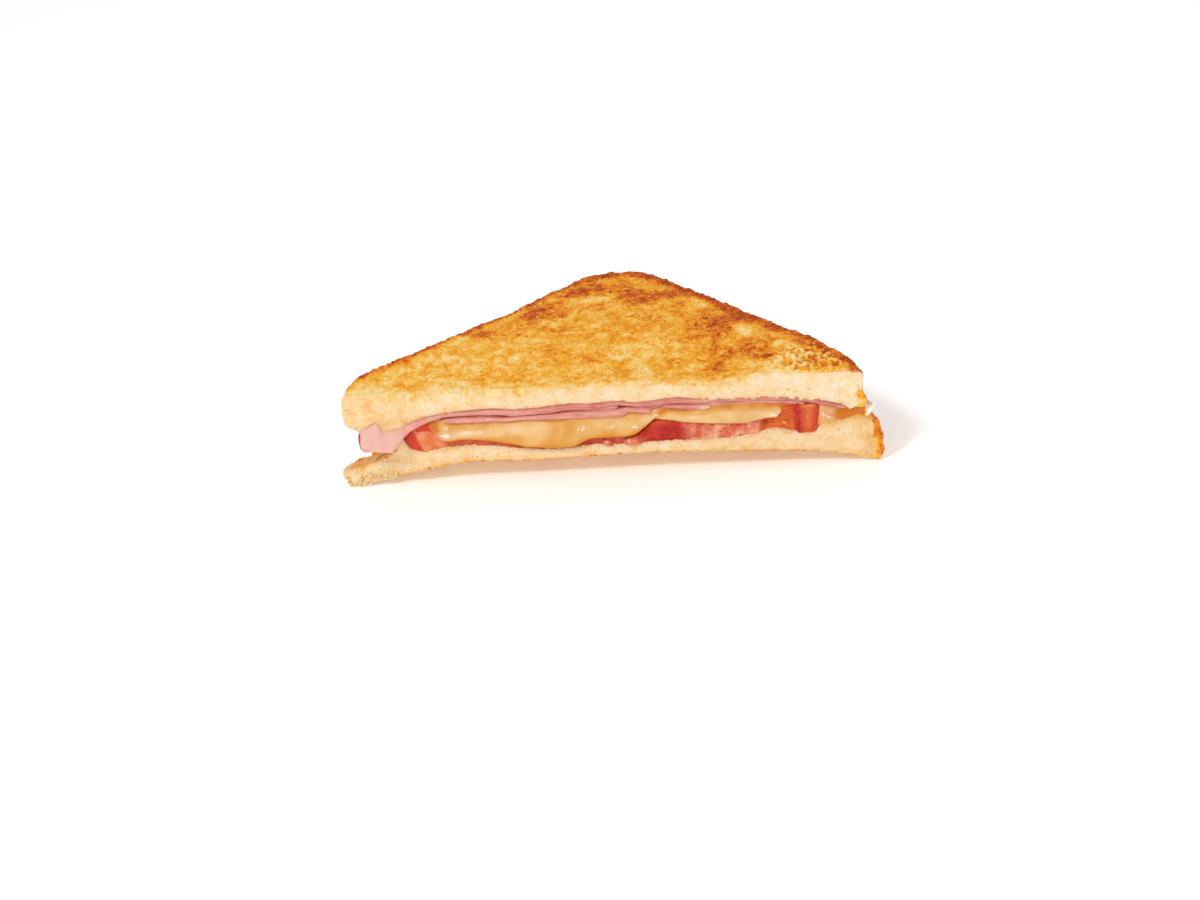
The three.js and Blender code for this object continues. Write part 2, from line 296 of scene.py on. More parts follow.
def crumb_group():
    """Soft pale crumb: fine pores, faint mottling, golden freckles and a few dark flecks."""
    inputs = [("Place", VECTOR, None), ("Warmth", FLOAT, 0.0)]
    group, given, wanted = new_group("crumb", inputs, [("Colour", COLOUR), ("Height", FLOAT)])
    place = given["Place"]
    mottle = cloud(group, place, 230, 4, 0.6)
    grain = cloud(group, place, 1500, 3, 0.65)
    value = maths(group, "MULTIPLY_ADD", mottle, 1.1, times(group, grain, 0.75))
    value = maths(group, "ADD", maths(group, "SUBTRACT", value, 0.32), given["Warmth"])
    stops = [(0.3, (250, 232, 200)), (0.58, (247, 218, 172)), (0.8, (243, 204, 146)),
             (1.0, (234, 182, 108))]
    colour = ramp(group, value, stops)
    freckle = band(group, cloud(group, place, 560, 2, 0.5), 0.655, 0.72)
    colour = blend_colours(group, times(group, freckle, 0.8), colour, paint(240, 180, 80))
    fleck = band(group, cell_distance(group, place, 105), 0.075, 0.045)
    colour = blend_colours(group, times(group, fleck, 0.7), colour, paint(150, 92, 50))
    pores = band(group, cell_distance(group, place, 950), 0.15, 0.75)
    height = maths(group, "MULTIPLY_ADD", pores, -0.5, grain)
    fill(group, wanted, {"Colour": colour, "Height": height})
    return group


def moist_group():
    """Wet food: gloss that comes and goes in small patches, and a fine uneven surface."""
    inputs = [("Place", VECTOR, None), ("Scale", FLOAT, 400.0), ("Dry", FLOAT, 0.5), ("Wet", FLOAT, 0.2)]
    group, given, wanted = new_group("moist", inputs, [("Roughness", FLOAT), ("Height", FLOAT)])
    patch = cloud(group, given["Place"], given["Scale"], 3, 0.6)
    wet = band(group, patch, 0.42, 0.6)
    span = maths(group, "SUBTRACT", given["Wet"], given["Dry"])
    roughness = maths(group, "MULTIPLY_ADD", wet, span, given["Dry"])
    fill(group, wanted, {"Roughness": roughness, "Height": patch})
    return group


BROWNING, CRUMB, MOIST = browning_group(), crumb_group(), moist_group()


def new_material(name, radius=None, **constants):
    """A material, its tree and its shader, with the constant sockets set on the shader itself."""
    material = bpy.data.materials.new(name)
    material.use_nodes = True
    tree = material.node_tree
    shader = tree.nodes["Principled BSDF"]
    for socket, value in constants.items():
        shader.inputs[socket.replace("_", " ")].default_value = value
    if radius:
        shader.inputs["Subsurface Radius"].default_value = radius
    return material, tree, shader


def bump(tree, shader, height, strength, distance):
    """Fine relief of the shader's surface; the distance is in mm."""
    inputs = {"Height": height, "Strength": strength, "Distance": distance * MM}
    made = add(tree, "ShaderNodeBump", inputs)
    tree.links.new(made.outputs["Normal"], shader.inputs["Normal"])


def bread_material():
    soft = {"Subsurface_Weight": 0.12, "Subsurface_Scale": 0.002, "Specular_IOR_Level": 0.08}
    material, tree, shader = new_material("toasted_bread", (1.0, 0.6, 0.3), **soft)
    place = object_place(tree)
    brown = use_group(tree, BROWNING, {"Place": place, "Level": attribute(tree, "brown")})
    crumb = use_group(tree, CRUMB, {"Place": place, "Warmth": attribute(tree, "warmth")})
    edge_noise = cloud(tree, place, 420, 4, 0.65)
    ragged = maths(tree, "SUBTRACT", attribute(tree, "toast"), 0.5)
    ragged = maths(tree, "MULTIPLY_ADD", edge_noise, 1.0, ragged)
    toasted = band(tree, ragged, 0.34, 0.72)
    # Painted shade, partly damp crumb: the crumb's colour darkened towards greyish pink.
    damp_and_painted_shade = blend_colours(tree, attribute(tree, "damp_and_painted_shade"), crumb["Colour"], paint(244, 222, 208), "MULTIPLY")
    colour = blend_colours(tree, toasted, damp_and_painted_shade, brown["Colour"])
    roughness = maths(tree, "MULTIPLY_ADD", toasted, -0.3, 0.92)
    fill(tree, shader.inputs, {"Base Color": colour, "Roughness": roughness})
    untoasted = maths(tree, "SUBTRACT", 1.0, toasted)
    soft_height = times(tree, crumb["Height"], times(tree, untoasted, 0.7))
    bump(tree, shader, maths(tree, "MULTIPLY_ADD", toasted, brown["Height"], soft_height), 0.8, 0.4)
    return material


def ham_material():
    soft = {"Subsurface_Weight": 0.25, "Subsurface_Scale": 0.003}
    material, tree, shader = new_material("cooked_ham", (1.0, 0.35, 0.25), **soft)
    place = object_place(tree)
    marbling = cloud(tree, place, 170, 4, 0.6, 1.2)
    lengthwise = {0: place, 1: (0.12, 0.4, 1.9)}
    lengthwise = add(tree, "ShaderNodeVectorMath", lengthwise, operation="MULTIPLY").outputs[0]
    fibres = cloud(tree, lengthwise, 1000, 4, 0.7)
    value = maths(tree, "MULTIPLY_ADD", marbling, 0.5, times(tree, fibres, 0.9))
    stops = [(0.45, (246, 190, 172)), (0.62, (233, 158, 138)), (0.78, (214, 125, 110)),
             (0.95, (190, 92, 84))]
    colour = ramp(tree, value, stops)
    # Rosy: the ham's darker tone, and painted shade in the creases between its slices.
    colour = blend_colours(tree, attribute(tree, "rosy"), colour, paint(186, 84, 78))
    colour = blend_colours(tree, attribute(tree, "pale"), colour, paint(232, 184, 170))
    rind = band(tree, attribute(tree, "rim"), 0.35, 0.9)
    colour = blend_colours(tree, rind, colour, paint(170, 56, 50))
    moist = use_group(tree, MOIST, {"Place": place, "Scale": 500.0, "Dry": 0.5, "Wet": 0.24})
    dull = maths(tree, "MULTIPLY_ADD", attribute(tree, "pale"), 0.3, moist["Roughness"])
    fill(tree, shader.inputs, {"Base Color": colour, "Roughness": dull})
    bump(tree, shader, maths(tree, "ADD", fibres, moist["Height"]), 0.4, 0.25)
    return material


def cheese_material():
    soft = {"Subsurface_Weight": 0.2, "Subsurface_Scale": 0.002, "Specular_IOR_Level": 0.3,
            "Coat_Roughness": 0.2, "Coat_IOR": 2.2}
    material, tree, shader = new_material("melted_cheese", (1.0, 0.65, 0.25), **soft)
    place = object_place(tree)
    drift = cloud(tree, place, 130, 3, 0.55, 0.6)
    stops = [(0.34, (232, 184, 112)), (0.5, (225, 168, 84)), (0.64, (218, 152, 60))]
    colour = ramp(tree, drift, stops)
    uneven = times(tree, maths(tree, "SUBTRACT", cloud(tree, place, 300, 3, 0.6), 0.5), 1.2)
    low = band(tree, maths(tree, "ADD", attribute(tree, "lip"), uneven), 0.0, 0.9)
    colour = blend_colours(tree, low, colour, paint(222, 148, 16))
    # Amber: the cheese's own deeper tone, and painted shade beneath the ham.
    amber_and_painted_shade = band(tree, maths(tree, "ADD", attribute(tree, "amber"), uneven), 0.1, 1.0)
    colour = blend_colours(tree, amber_and_painted_shade, colour, paint(208, 114, 18))
    # Pale: the cheese's own cream, near white on the thin flap, and painted sheen on the upper front.
    pale = attribute(tree, "pale")
    colour = blend_colours(tree, pale, colour, paint(250, 228, 188))
    colour = blend_colours(tree, band(tree, pale, 0.6, 1.0), colour, paint(255, 250, 234))
    moist = use_group(tree, MOIST, {"Place": place, "Scale": 160.0, "Dry": 0.42, "Wet": 0.28})
    oil_and_painted_highlight = attribute(tree, "oil_and_painted_highlight")
    oily = times(tree, oil_and_painted_highlight, band(tree, cloud(tree, place, 900, 2), 0.35, 0.55))
    # Painted highlights: near-white specks in the colour where the cheese is oily.
    painted_highlight = band(tree, times(tree, oil_and_painted_highlight, cloud(tree, place, 1500, 2)), 0.36, 0.56)
    colour = blend_colours(tree, times(tree, painted_highlight, 0.75), colour, paint(255, 246, 228))
    fill(tree, shader.inputs, {"Base Color": colour, "Roughness": moist["Roughness"], "Coat Weight": oily})
    bubbles = band(tree, cell_distance(tree, place, 420), 0.22, 0.1)
    bump(tree, shader, maths(tree, "MULTIPLY_ADD", bubbles, 0.25, moist["Height"]), 0.25, 0.3)
    return material


def tomato_material():
    soft = {"Subsurface_Weight": 0.12, "Subsurface_Scale": 0.002, "Specular_IOR_Level": 0.3}
    material, tree, shader = new_material("ripe_tomato", (1.0, 0.3, 0.15), **soft)
    place = object_place(tree)
    streaks = cloud(tree, place, 250, 4, 0.6, 0.8)
    stops = [(0.36, (238, 184, 152)), (0.5, (226, 138, 104)), (0.64, (208, 82, 52))]
    centred = maths(tree, "SUBTRACT", streaks, 0.15)
    flesh = ramp(tree, maths(tree, "MULTIPLY_ADD", cloud(tree, place, 1500, 3, 0.6), 0.3, centred), stops)
    reds = [(0.35, (200, 46, 22)), (0.6, (176, 22, 12))]
    deep = ramp(tree, cloud(tree, place, 500, 3, 0.6), reds)
    colour = blend_colours(tree, attribute(tree, "flesh"), deep, flesh)
    jelly = attribute(tree, "jelly")
    pockets = band(tree, cloud(tree, place, 420, 3, 0.6, 1.0), 0.46, 0.62)
    pockets = times(tree, pockets, band(tree, jelly, 0.6, 0.85))
    clear = blend_colours(tree, pockets, paint(232, 116, 38), paint(186, 62, 20))
    colour = blend_colours(tree, jelly, colour, clear)
    # Skin's dark red, also laid on as painted shade under the ham and in the jelly's dark hollow.
    skin = band(tree, attribute(tree, "skin"), 0.2, 0.8)
    colour = blend_colours(tree, skin, colour, paint(210, 56, 28))
    # Painted highlights: small pale glints in the tomato's colour.
    painted_glints = band(tree, cell_distance(tree, place, 760), 0.2, 0.08)
    painted_glints = times(tree, painted_glints, band(tree, cloud(tree, place, 330, 3, 0.6), 0.52, 0.62))
    colour = blend_colours(tree, times(tree, painted_glints, 0.55), colour, paint(255, 214, 190))
    moist = use_group(tree, MOIST, {"Place": place, "Scale": 600.0, "Dry": 0.32, "Wet": 0.12})
    fill(tree, shader.inputs, {"Base Color": colour, "Roughness": moist["Roughness"]})
    bump(tree, shader, maths(tree, "ADD", streaks, moist["Height"]), 0.35, 0.25)
    return material


# ---------- making pieces ----------

def finish_piece(name, mesh, material, replaces=()):
    """The mesh as a named piece, with its material, slot and the solid that it stands for."""
    piece = bpy.data.objects.new(name, mesh)
    bpy.context.scene.collection.objects.link(piece)
    mesh.materials.append(material)
    mesh.shade_smooth()
    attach(piece, "root")
    if replaces:
        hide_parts(*replaces)
    return piece


def solid_copy(node):
    """A merged copy of a layer's solid."""
    bm = bmesh.new()
    bm.from_mesh(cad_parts[node].data)
    bmesh.ops.remove_doubles(bm, verts=bm.verts, dist=0.005 * MM)
    return bm


def remeshed(bm, name, voxel, smoothing=0):
    """A fine even skin round everything in the bmesh, as a new bmesh."""
    coarse = bpy.data.meshes.new(name)
    bm.to_mesh(coarse)
    bm.free()
    holder = bpy.data.objects.new(name, coarse)
    bpy.context.scene.collection.objects.link(holder)
    skin = holder.modifiers.new("skin", "REMESH")
    skin.mode = "VOXEL"
    skin.voxel_size = voxel * MM
    if smoothing:
        relax = holder.modifiers.new("relax", "SMOOTH")
        relax.factor = 0.5
        relax.iterations = smoothing
    evaluated = holder.evaluated_get(bpy.context.evaluated_depsgraph_get())
    fine = bmesh.new()
    fine.from_mesh(evaluated.to_mesh())
    evaluated.to_mesh_clear()
    bpy.data.objects.remove(holder)
    bpy.data.meshes.remove(coarse)
    fine.normal_update()
    return fine


def note(values, amounts):
    """Adds one vertex's amounts to the lists that become a piece's attributes."""
    for key, amount in zip(values, amounts):
        values[key].append(amount)


def limited(amount):
    return min(max(amount, 0.0), 1.0)


def grid(columns, rows, half_side=0.5):
    """A flat bmesh grid round the origin, to be bent into shape."""
    bm = bmesh.new()
    bmesh.ops.create_grid(bm, x_segments=columns, y_segments=rows, size=half_side)
    return bm


def sealed(bm, gap):
    """Joins the seams of a sheet that was folded shut, and turns its faces outwards."""
    bmesh.ops.remove_doubles(bm, verts=bm.verts, dist=gap * MM)
    bmesh.ops.recalc_face_normals(bm, faces=bm.faces)
    return bm


def to_mesh(bm, name, layers=None):
    mesh = bpy.data.meshes.new(name)
    bm.normal_update()
    bm.to_mesh(mesh)
    bm.free()
    for attribute_name, values in (layers or {}).items():
        layer = mesh.attributes.new(attribute_name, "FLOAT", "POINT")
        layer.data.foreach_set("value", values)
    return mesh


def rough(place, scale, octaves):
    """Cloudy unevenness from about -1 to 1, with the given grain in mm."""
    return noise.fractal(place / (scale * MM), 0.7, 2.1, octaves)


def wander(x, grain, seed):
    """A slow unevenness along one direction, from about -1 to 1."""
    return noise.noise(Vector((x / grain, seed, 0.4)))


def pit(place, scale, size):
    """1 in the middle of scattered round pores and 0 between them; size is their share of a cell."""
    nearest = noise.voronoi(place / (scale * MM))[0][0]
    return ease(size, size * 0.35, nearest)


# ---------- bread ----------

# Places on the toasted face that came out browner or paler: along the cut, behind it, radius, amount.
TOAST_PATCHES = [
    (-38, 33, 4, 0.16), (-28, 32, 4.5, 0.14), (-22.4, 45.8, 5, 0.24), (-17, 33.5, 3, 0.14),
    (-15.7, 41.7, 3, 0.14), (-11.2, 56.7, 4.5, 0.24), (-5.5, 59.3, 3, 0.26), (2.3, 57.4, 4, 0.14),
    (6, 53.9, 3.5, 0.26), (11.7, 51.6, 3.5, 0.28), (18.2, 52.3, 4, 0.18), (30.5, 33.8, 4.5, 0.2),
    (39.7, 37.2, 4.5, 0.2), (34, 45.5, 4, 0.08), (34.8, 27.3, 3.5, 0.14), (47.2, 13.1, 4, 0.18),
    (48.2, 10.9, 1.3, 0.3), (46, 9.6, 1.5, 0.2), (-57, 17, 2.5, 0.14), (-50, 14, 3, 0.1),
    (32.2, 8.3, 4, 0.14), (21, 11.6, 3.5, 0.12), (35.3, 15.1, 4, 0.14), (40.9, 17.7, 4, 0.16),
    (-4.4, 13.7, 2.5, 0.12), (-49, 27, 3, 0.08), (16, 38, 7, 0.05), (26, 24, 8, 0.06), (-2, 66, 9, 0.06),
    (-44, 30, 5, -0.2), (-49.6, 21.1, 6, -0.16), (-19.2, 60.6, 3.5, -0.22), (-7, 52.3, 4, -0.22),
    (-11.3, 67.6, 3, -0.2), (-5.6, 69.5, 2.5, -0.2), (-36.4, 21, 4, -0.14), (-15.3, 37.5, 3, -0.14),
    (39.7, 27.7, 3.5, -0.4), (27.6, 45.3, 3.5, -0.3), (15.6, 49, 3, -0.2), (49, 7.2, 4.5, -0.3),
    (49.6, 15.8, 3.5, -0.2), (16.2, 19.4, 5, -0.1), (-58, 14, 7, -0.1), (-24, 24, 7, -0.07),
]
PATCH_BROWNING, PATCH_PALING = 1.35, 0.85  # how strongly these places tell
BROWNEST = 0.74  # the level past which only scorched spots go
OPEN_CRUMB = (59, 8, 11, 7)  # open, pale, pitted patch near the right end: place and its two radii
# Round pores in that patch: along the cut, behind it and radius.
PORES = [(53.1, 6.3, 2.0), (63.7, 4.6, 1.4), (66.6, 4.3, 1.3), (47.0, 16.2, 1.8), (51.2, 15.0, 1.5),
         (57.6, 8.4, 0.9), (60.8, 9.6, 1.0), (56.2, 12.2, 0.8), (58.9, 3.2, 0.9), (61.2, 5.8, 0.8)]

# How far the top slice's crust bulges past the even outline, in mm, from its left end to its right.
CRUST_WANDER = curve([
    (-74, 1.6), (-68, 1.9), (-62, 1.4), (-57, 0.5), (-51, 0.1), (-46, -0.7), (-41, -0.2), (-37, -1.2),
    (-32, -2.0), (-27, -0.8), (-21, 0.0), (-17, -0.7), (-13, 0.2), (-7, -1.3), (0, -1.2), (5, -1.8),
    (10, 0.0), (15, 0.6), (21, 0.4), (31, 0.9), (38, 0.6), (46, 0.3), (53, 0.5), (58, 1.0), (64, 0.2),
    (68, -0.5), (73, -0.8),
])


def open_crumb(x, y):
    px, py, along, behind = OPEN_CRUMB
    return glow(x, y, px, py, along, behind)


def pore(x, y):
    """How far a place lies inside a round pore, and on the pale rim round one."""
    inside = rim = 0.0
    for px, py, radius in PORES:
        away = math.hypot(x - px, (y - py) / 1.6) / radius
        inside = max(inside, ease(1.1, 0.6, away))
        rim = max(rim, hump(away, 1.25, 0.25))
    return inside, rim


def browning_at(x, y):
    """How brown the toasted face is: darker to the crust, with patches of its own."""
    right_leg = ease(5, 25, x)
    crust = crust_distance(x, y)
    inner = (0.9 * ease(-62, -56, x) - 1.3) * (1 - right_leg)
    level = 0.31 + 0.3 * ease(6.4 + inner, 2.3 + inner, crust)
    level += 0.14 * ease(5.0 + 1.3 * inner, 2.7 + inner, crust) * (1 + 1.2 * wander(x, 3, 2.7))
    level -= 0.1 * ease(9, 3, y) * ease(-58, -66, x)
    level += 0.07 * ease(10, 60, y) - 0.08 * ease(6, 0, y) + 0.05 * ease(10, 35, x)
    for px, py, radius, amount in TOAST_PATCHES:
        if abs(x - px) < 2.5 * radius and abs(y - py) < 2.5 * radius:
            uneven = 1 + 0.7 * noise.noise(Vector((x, y, px)) * 0.6)
            strength = amount * (PATCH_BROWNING if amount > 0 else PATCH_PALING) * uneven
            level += strength * glow(x, y, px, py, radius, radius)
    patch = open_crumb(x, y)
    inside, rim = pore(x, y)
    level += patch * (1.1 * noise.noise(Vector((x / 1.2, y / 1.5, 3.0))) - 0.03)
    level += 0.3 * ease(0.2, 0.5, patch) * hump(y, 0.9, 0.9)
    scorched = ease(0.15, 0.4, noise.noise(Vector((x / 3.4, y / 3.4, 9.1)))) * ease(4.5, 2.5, crust)
    level = min(level, BROWNEST + 0.2 * scorched * right_leg)
    return mix(level, 0.5, 0.85 * inside) - 0.2 * rim * (1 - inside) * ease(0.1, 0.4, patch)


def below_face(node, x, y, z, from_above):
    """Distance in mm between a place and the slice's upper or lower face."""
    height = face_height(node, x, y, from_above)
    return 0.0 if height is None else abs(height - z)


def slump(depth, y, radius):
    """How the knife's edge has softened: a move back from the cut and one away from the toasted face."""
    across, down = radius - y, radius - depth
    if across <= 0 or down <= 0 or math.hypot(across, down) <= radius:
        return 0.0, 0.0
    share = 1 - radius / math.hypot(across, down)
    return across * share, down * share


def crust_bulge(x, y):
    """How the top slice's outline leaves the even one, as a move along x and y."""
    along = (y - abs(x) + REACH) / 2 - REACH
    share = CRUST_WANDER(math.copysign(along, x)) * ease(9, 0, crust_distance(x, y))
    out = Vector((ease(1, 14, abs(x)) * math.copysign(0.7, x), mix(1, 0.7, ease(1, 14, abs(x)))))
    return out * share


# The torn lower edge near the top slice's left end: rise in mm along the cut.
NOTCH = curve([(-76, -0.8), (-73.3, -1.3), (-72.2, -0.3), (-71, 0.4), (-69.4, 0.7), (-67.5, 1.0), (-66, 1.8),
               (-64.9, 2.4), (-64.3, 1.9), (-63.7, 0.1), (-62.8, -0.5), (-60, 0.0)])


def top_slice_look(x, y, z, depth, on_cut):
    """Toasting, browning and warmth of a place on the top slice, and how much of it is crust."""
    near_cut = ease(7, 1, y)
    ragged = 0.16 * wander(x, 3.1, 5.5 + 0.3 * y) + 0.12 * wander(x, 9, 2.5)
    crisp = ease(0.15, 0.5, open_crumb(x, 2))
    outer = ease(1.2, 0.1, depth) * (1 - (1 - crisp) * (0.42 - ragged) * ease(4.5, 0.2, y))
    spill = mix(0.68, 0.56, ease(-35, 5, x)) - mix(0.14, 0.24, ease(-35, 5, x)) * depth + ragged
    spill *= on_cut * ease(64, 50, x)
    side = ease(2.8 + 2.4 * ease(26, 18, z) * ease(60, 70, x), 0.9, crust_distance(x, y))
    pale_end = 0.85 * near_cut * side
    side *= 1 - 0.9 * near_cut * ease(0, -40, x) - 0.85 * near_cut * ease(22, 25, z) * ease(0, 40, x)
    end_share = max(ease(0, -40, x), ease(28.5, 26.5, z))
    level = mix(browning_at(x, y), 0.22, mix(0.85 * side * near_cut, pale_end, end_share))
    level -= 0.12 * ease(2.5, 0.2, y) * (1 - ease(0.2, 0.5, open_crumb(x, y)))
    level = mix(level, 0.56 + 0.16 * wander(x, 6, 0.2 * z), 0.8 * ease(0.5, 3, depth) * ease(2, 9, y))
    warm = 0.1 * ease(3, 0.5, depth) + 0.1 * ease(-50, -72, x) - 0.14 * ease(35, 60, x)
    warm += 0.1 * glow(x, z, -58, 24, 9, 4)
    golden = glow(x, z, RIGHT_END, 20.5, 2.2, 2.8) * ease(3, 1, y)
    level += 0.26 * golden
    return max(outer, side * 0.85, spill, 0.7 * golden), level, warm, side


def top_slice_shape(x, y, z, depth, gap, place):
    """How the top slice leaves its solid: bulging crust, torn notch, leaning ends and open crumb."""
    move = Vector((0, 0, 0))
    move.xy = crust_bulge(x, y)
    move.x += 2.7 * ease(21.5, 16.5, z) * ease(-67, -71.5, x) * ease(14, 5, y)
    move.x += 1.3 * ease(23, 18.5, z) * ease(70, 74, x) * ease(9, 2, y)
    knobs = 0.8 * hump(z, 27.2, 1.6) + 0.7 * hump(z, 19.4, 1.3)
    move.x += knobs * ease(70, 74, x) * ease(6, 1, y)
    move.z += NOTCH(x) * ease(9, 4.5, y) * ease(5, 0.8, gap)
    surface = ease(0.9, 0.1, depth)
    inside, rim = pore(x, y)
    pitted = open_crumb(x, y) * surface * (1 - inside)
    move.z -= 0.45 * pitted * pit(place, 2.4, 0.5) + 0.7 * pitted * abs(rough(place, 1.2, 3))
    move.z -= surface * (1.1 * inside - 0.15 * rim)
    return move


BOTTOM_ENDS = (-77, 79)  # ends of the bottom slice along the cut, mm
CRUMB_PEAK = -58.4  # where its crumb stands up against the tomato, mm along the cut


def bottom_crust(x, y):
    return crust_distance(x, y, *BOTTOM_ENDS) - ease(12, 4, y)


def bottom_slice_look(x, y, z, depth, on_cut):
    """The same four amounts for the bottom slice, whose left end is rough and crumbly."""
    crust = bottom_crust(x, y)
    outer = ease(0.9, 0.1, depth) * (1 - 0.45 * ease(2.0, 0.3, y))
    spill = (0.57 + 0.1 * wander(x, 2.6, 4.4)) * ease(mix(1.7, 2.6, ease(-25, -50, x)), 0.5, depth) * on_cut
    side = ease(3.3, 0.6, crust + 0.7 * wander(z, 2.2, 8.8) + 0.4 * wander(z, 0.7, 3.3))
    crumbly = ease(-54, -70, x) * ease(6, 1.0, z - 0.2 * (x + 75)) * ease(14, 2, y)
    side *= 1 - 0.7 * ease(-60, -70, x) * ease(6, 2, y)
    level = 0.3 + mix(0.18, 0.2, ease(40, 60, x)) * ease(4, 0, crust) - 0.1 * crumbly
    level += 0.14 * ease(4, 0.5, y) * ease(2.2, 0.6, depth) * window(x, -62, -50, 68, 74)
    warm = 0.16 * ease(3, 0.5, depth) * ease(-76, -64, x) - 0.06 * window(x, -40, -20, 20, 40)
    warm += 0.22 * ease(8, 3, crust) * ease(30, 60, x) + 0.06 * ease(-42, -50, x)
    soaked = window(x, 60, 64, 74, 79) * ease(2.4, 0.3, ground(x, y) - z)
    soaked = max(soaked, 0.8 * ease(-57, -59, x) * ease(1.5, 0.2, ground(x, y) - z))
    toasted = max(outer * (1 - 0.45 * crumbly), side, spill, 0.4 * crumbly, 0.56 * soaked)
    return toasted, level - 0.06 * soaked, warm + 0.3 * soaked, max(side, crumbly)


def bottom_slice_shape(x, y, z, depth, gap, place):
    """How the bottom slice leaves its solid: peaks of crumb at the tomato's ends, and a rise on the right."""
    move = Vector((0, 0, 0))
    peak = hump(x, CRUMB_PEAK, 1.7) * ease(5, 0.5, gap)
    move.z += 3.4 * peak * ease(9, 1.5, y)
    move.y -= 0.8 * peak * ease(4, 0.5, y)
    move.z += 0.45 * window(x, 61, 64, 73, 77) * ease(5, 1.5, y) * ease(3, 0.3, gap)
    move.z += 0.9 * hump(x, 62, 1.3) * ease(5, 1, y) * ease(5, 0.5, gap)
    return move


BREAD_VOXEL = 0.45  # grain of the fine skin, mm
KNIFE_EDGE_TOP, KNIFE_EDGE_BOTTOM = 1.5, 0.9  # radius of the softened edge at the cut, mm


def bread_slice(node, name, material):
    """A slice of toast: a fine skin on its solid, with crumb, crust and browning of its own."""
    bm = remeshed(solid_copy(node), name, BREAD_VOXEL)
    is_top = node == "bread_top"
    look, shape = (top_slice_look, top_slice_shape) if is_top else (bottom_slice_look, bottom_slice_shape)
    values = {"toast": [], "brown": [], "warmth": [], "damp_and_painted_shade": []}
    moves = []
    for vert in bm.verts:
        place = vert.co
        x, y, z = food_mm(place)
        depth = below_face(node, x, y, z, is_top)
        gap = below_face(node, x, y, z, not is_top)
        on_cut = ease(1.0, 0.4, y) * ease(-0.2, -0.7, vert.normal.y)
        toasted, level, warm, edge = look(x, y, z, depth, on_cut)
        # Painted shade, partly damp crumb: darker near the filling, and a little over all of the bottom slice.
        damp_and_painted_shade = 0.25 * ease(2.0, 0.2, gap) if is_top else 0.16 + 0.5 * ease(1.6, 0.2, gap)
        note(values, (toasted, level, warm + 0.08 * rough(place, 6, 3), damp_and_painted_shade))
        browned = ease(0.4, 0.8, toasted)
        lift = (1 - browned) * (0.14 * rough(place, 2.2, 3) - 0.3 * pit(place, 1.9, 0.36) * on_cut)
        lift += browned * (0.2 * rough(place, 4.5, 3) + 0.16 * rough(place, 1.4, 2))
        rim = ease(4.5, 2.5, crust_distance(x, y)) * ease(4, 1, depth) * ease(3, 8, y)
        lift += edge * (0.18 * rough(place, 2.2, 2) + 0.2 * rough(place, 1.2, 2))
        lift += 0.3 * rim * rough(place, 1.3, 2)
        if x < -50 and not is_top:
            crumbly = 0.4 * rough(place, 1.9, 3) + 0.45 * rough(place, 1.0, 2) - 0.4 * pit(place, 2.2, 0.5)
            lift += ease(-54, -66, x) * mix(0.35, 1.0, ease(0.2, 0.6, edge)) * crumbly
        filled = ease(0.3, 0.8, abs(vert.normal.z)) * ease(2, 4, depth) * ease(1, 3, crust_distance(x, y))
        move = vert.normal * (lift + 0.12 * filled)
        if not is_top and z < 0.6 and vert.normal.z < -0.7:
            move.z = max(move.z, 0.0) * 0.5
        fuzz = 0.35 * rough(place, 1.5, 2) + (0.7 * rough(place, 1.1, 2) - 0.25) * ease(20, 40, x) * is_top
        move.z += ease(1.3, 0.1, gap) * ease(1.8, 0.2, y) * fuzz
        back, inward = slump(depth, y, KNIFE_EDGE_TOP if is_top else KNIFE_EDGE_BOTTOM)
        move += Vector((0, back, -inward if is_top else inward)) + shape(x, y, z, depth, gap, place)
        moves.append(move * MM)
    for vert, move in zip(bm.verts, moves):
        vert.co += move
    return finish_piece(name, to_mesh(bm, name, values), material, [node])


# ---------- ham ----------

# Faces between the slices of ham along the cut, as depths in mm below the crumb.
SEAM_UPPER = curve([
    (-71, 1.1), (-50, 1.1), (-44, 0.9), (-36, 1.2), (-28, 1.6), (-25.4, 1.9), (-22.5, 1.6), (-18, 1.6),
    (-14, 1.8), (-8.7, 1.5), (-3, 1.5), (0, 1.3), (2, 1.1), (4.5, 0.9), (8, 0.9), (12, 1.0), (17, 1.4),
    (24, 1.5), (33, 1.1), (44, 1.1), (57, 1.1), (65, 1.0), (69, 0.8),
])
SEAM_LOWER = curve([
    (-48, 1.6), (-44, 1.6), (-36, 2.2), (-29, 2.5), (-23, 2.1), (-18, 2.2), (-14, 2.5), (-7.6, 2.3),
    (0, 2.4), (4.5, 2.6), (7, 1.8), (11, 1.7), (15, 1.9), (20, 2.1), (25, 2.1), (30, 2.0), (40, 1.9),
    (50, 2.0), (57, 1.9),
])
HAM_BOTTOM = curve([
    (-48, 2.2), (-45, 2.6), (-41, 3.2), (-36, 3.6), (-30, 3.5), (-23, 2.9), (-18, 3.3), (-13, 4.1),
    (-8, 4.1), (-1, 4.1), (5, 4.7), (8, 2.9), (12.5, 3.1), (15, 3.5), (18, 3.0), (23, 3.1), (28, 2.9),
    (30, 2.6), (31, 2.0),
])
CRUMB_LINE = curve([(0, -0.15)])  # the uppermost slice is pressed into the crumb
TONGUE_END = -70.6  # left end of the uppermost slice, mm along the cut
TONGUE_OUT, TONGUE_DROP = 4.2, 3.0  # how far it hangs out of the cut there, and down
SEAM_OVERLAP = 0.2  # the slices of ham lie pressed into each other
HAM_COLUMNS, HAM_ROWS = 240, 56  # of the grid that each slice is bent from
HAM_END = 2.2  # length over which a slice of ham thins to its end, mm
HAM_HALF = 0.55  # the most that half its thickness comes to behind the cut, mm
HAM_TAIL = 0.8  # length over which it thins at the back, mm


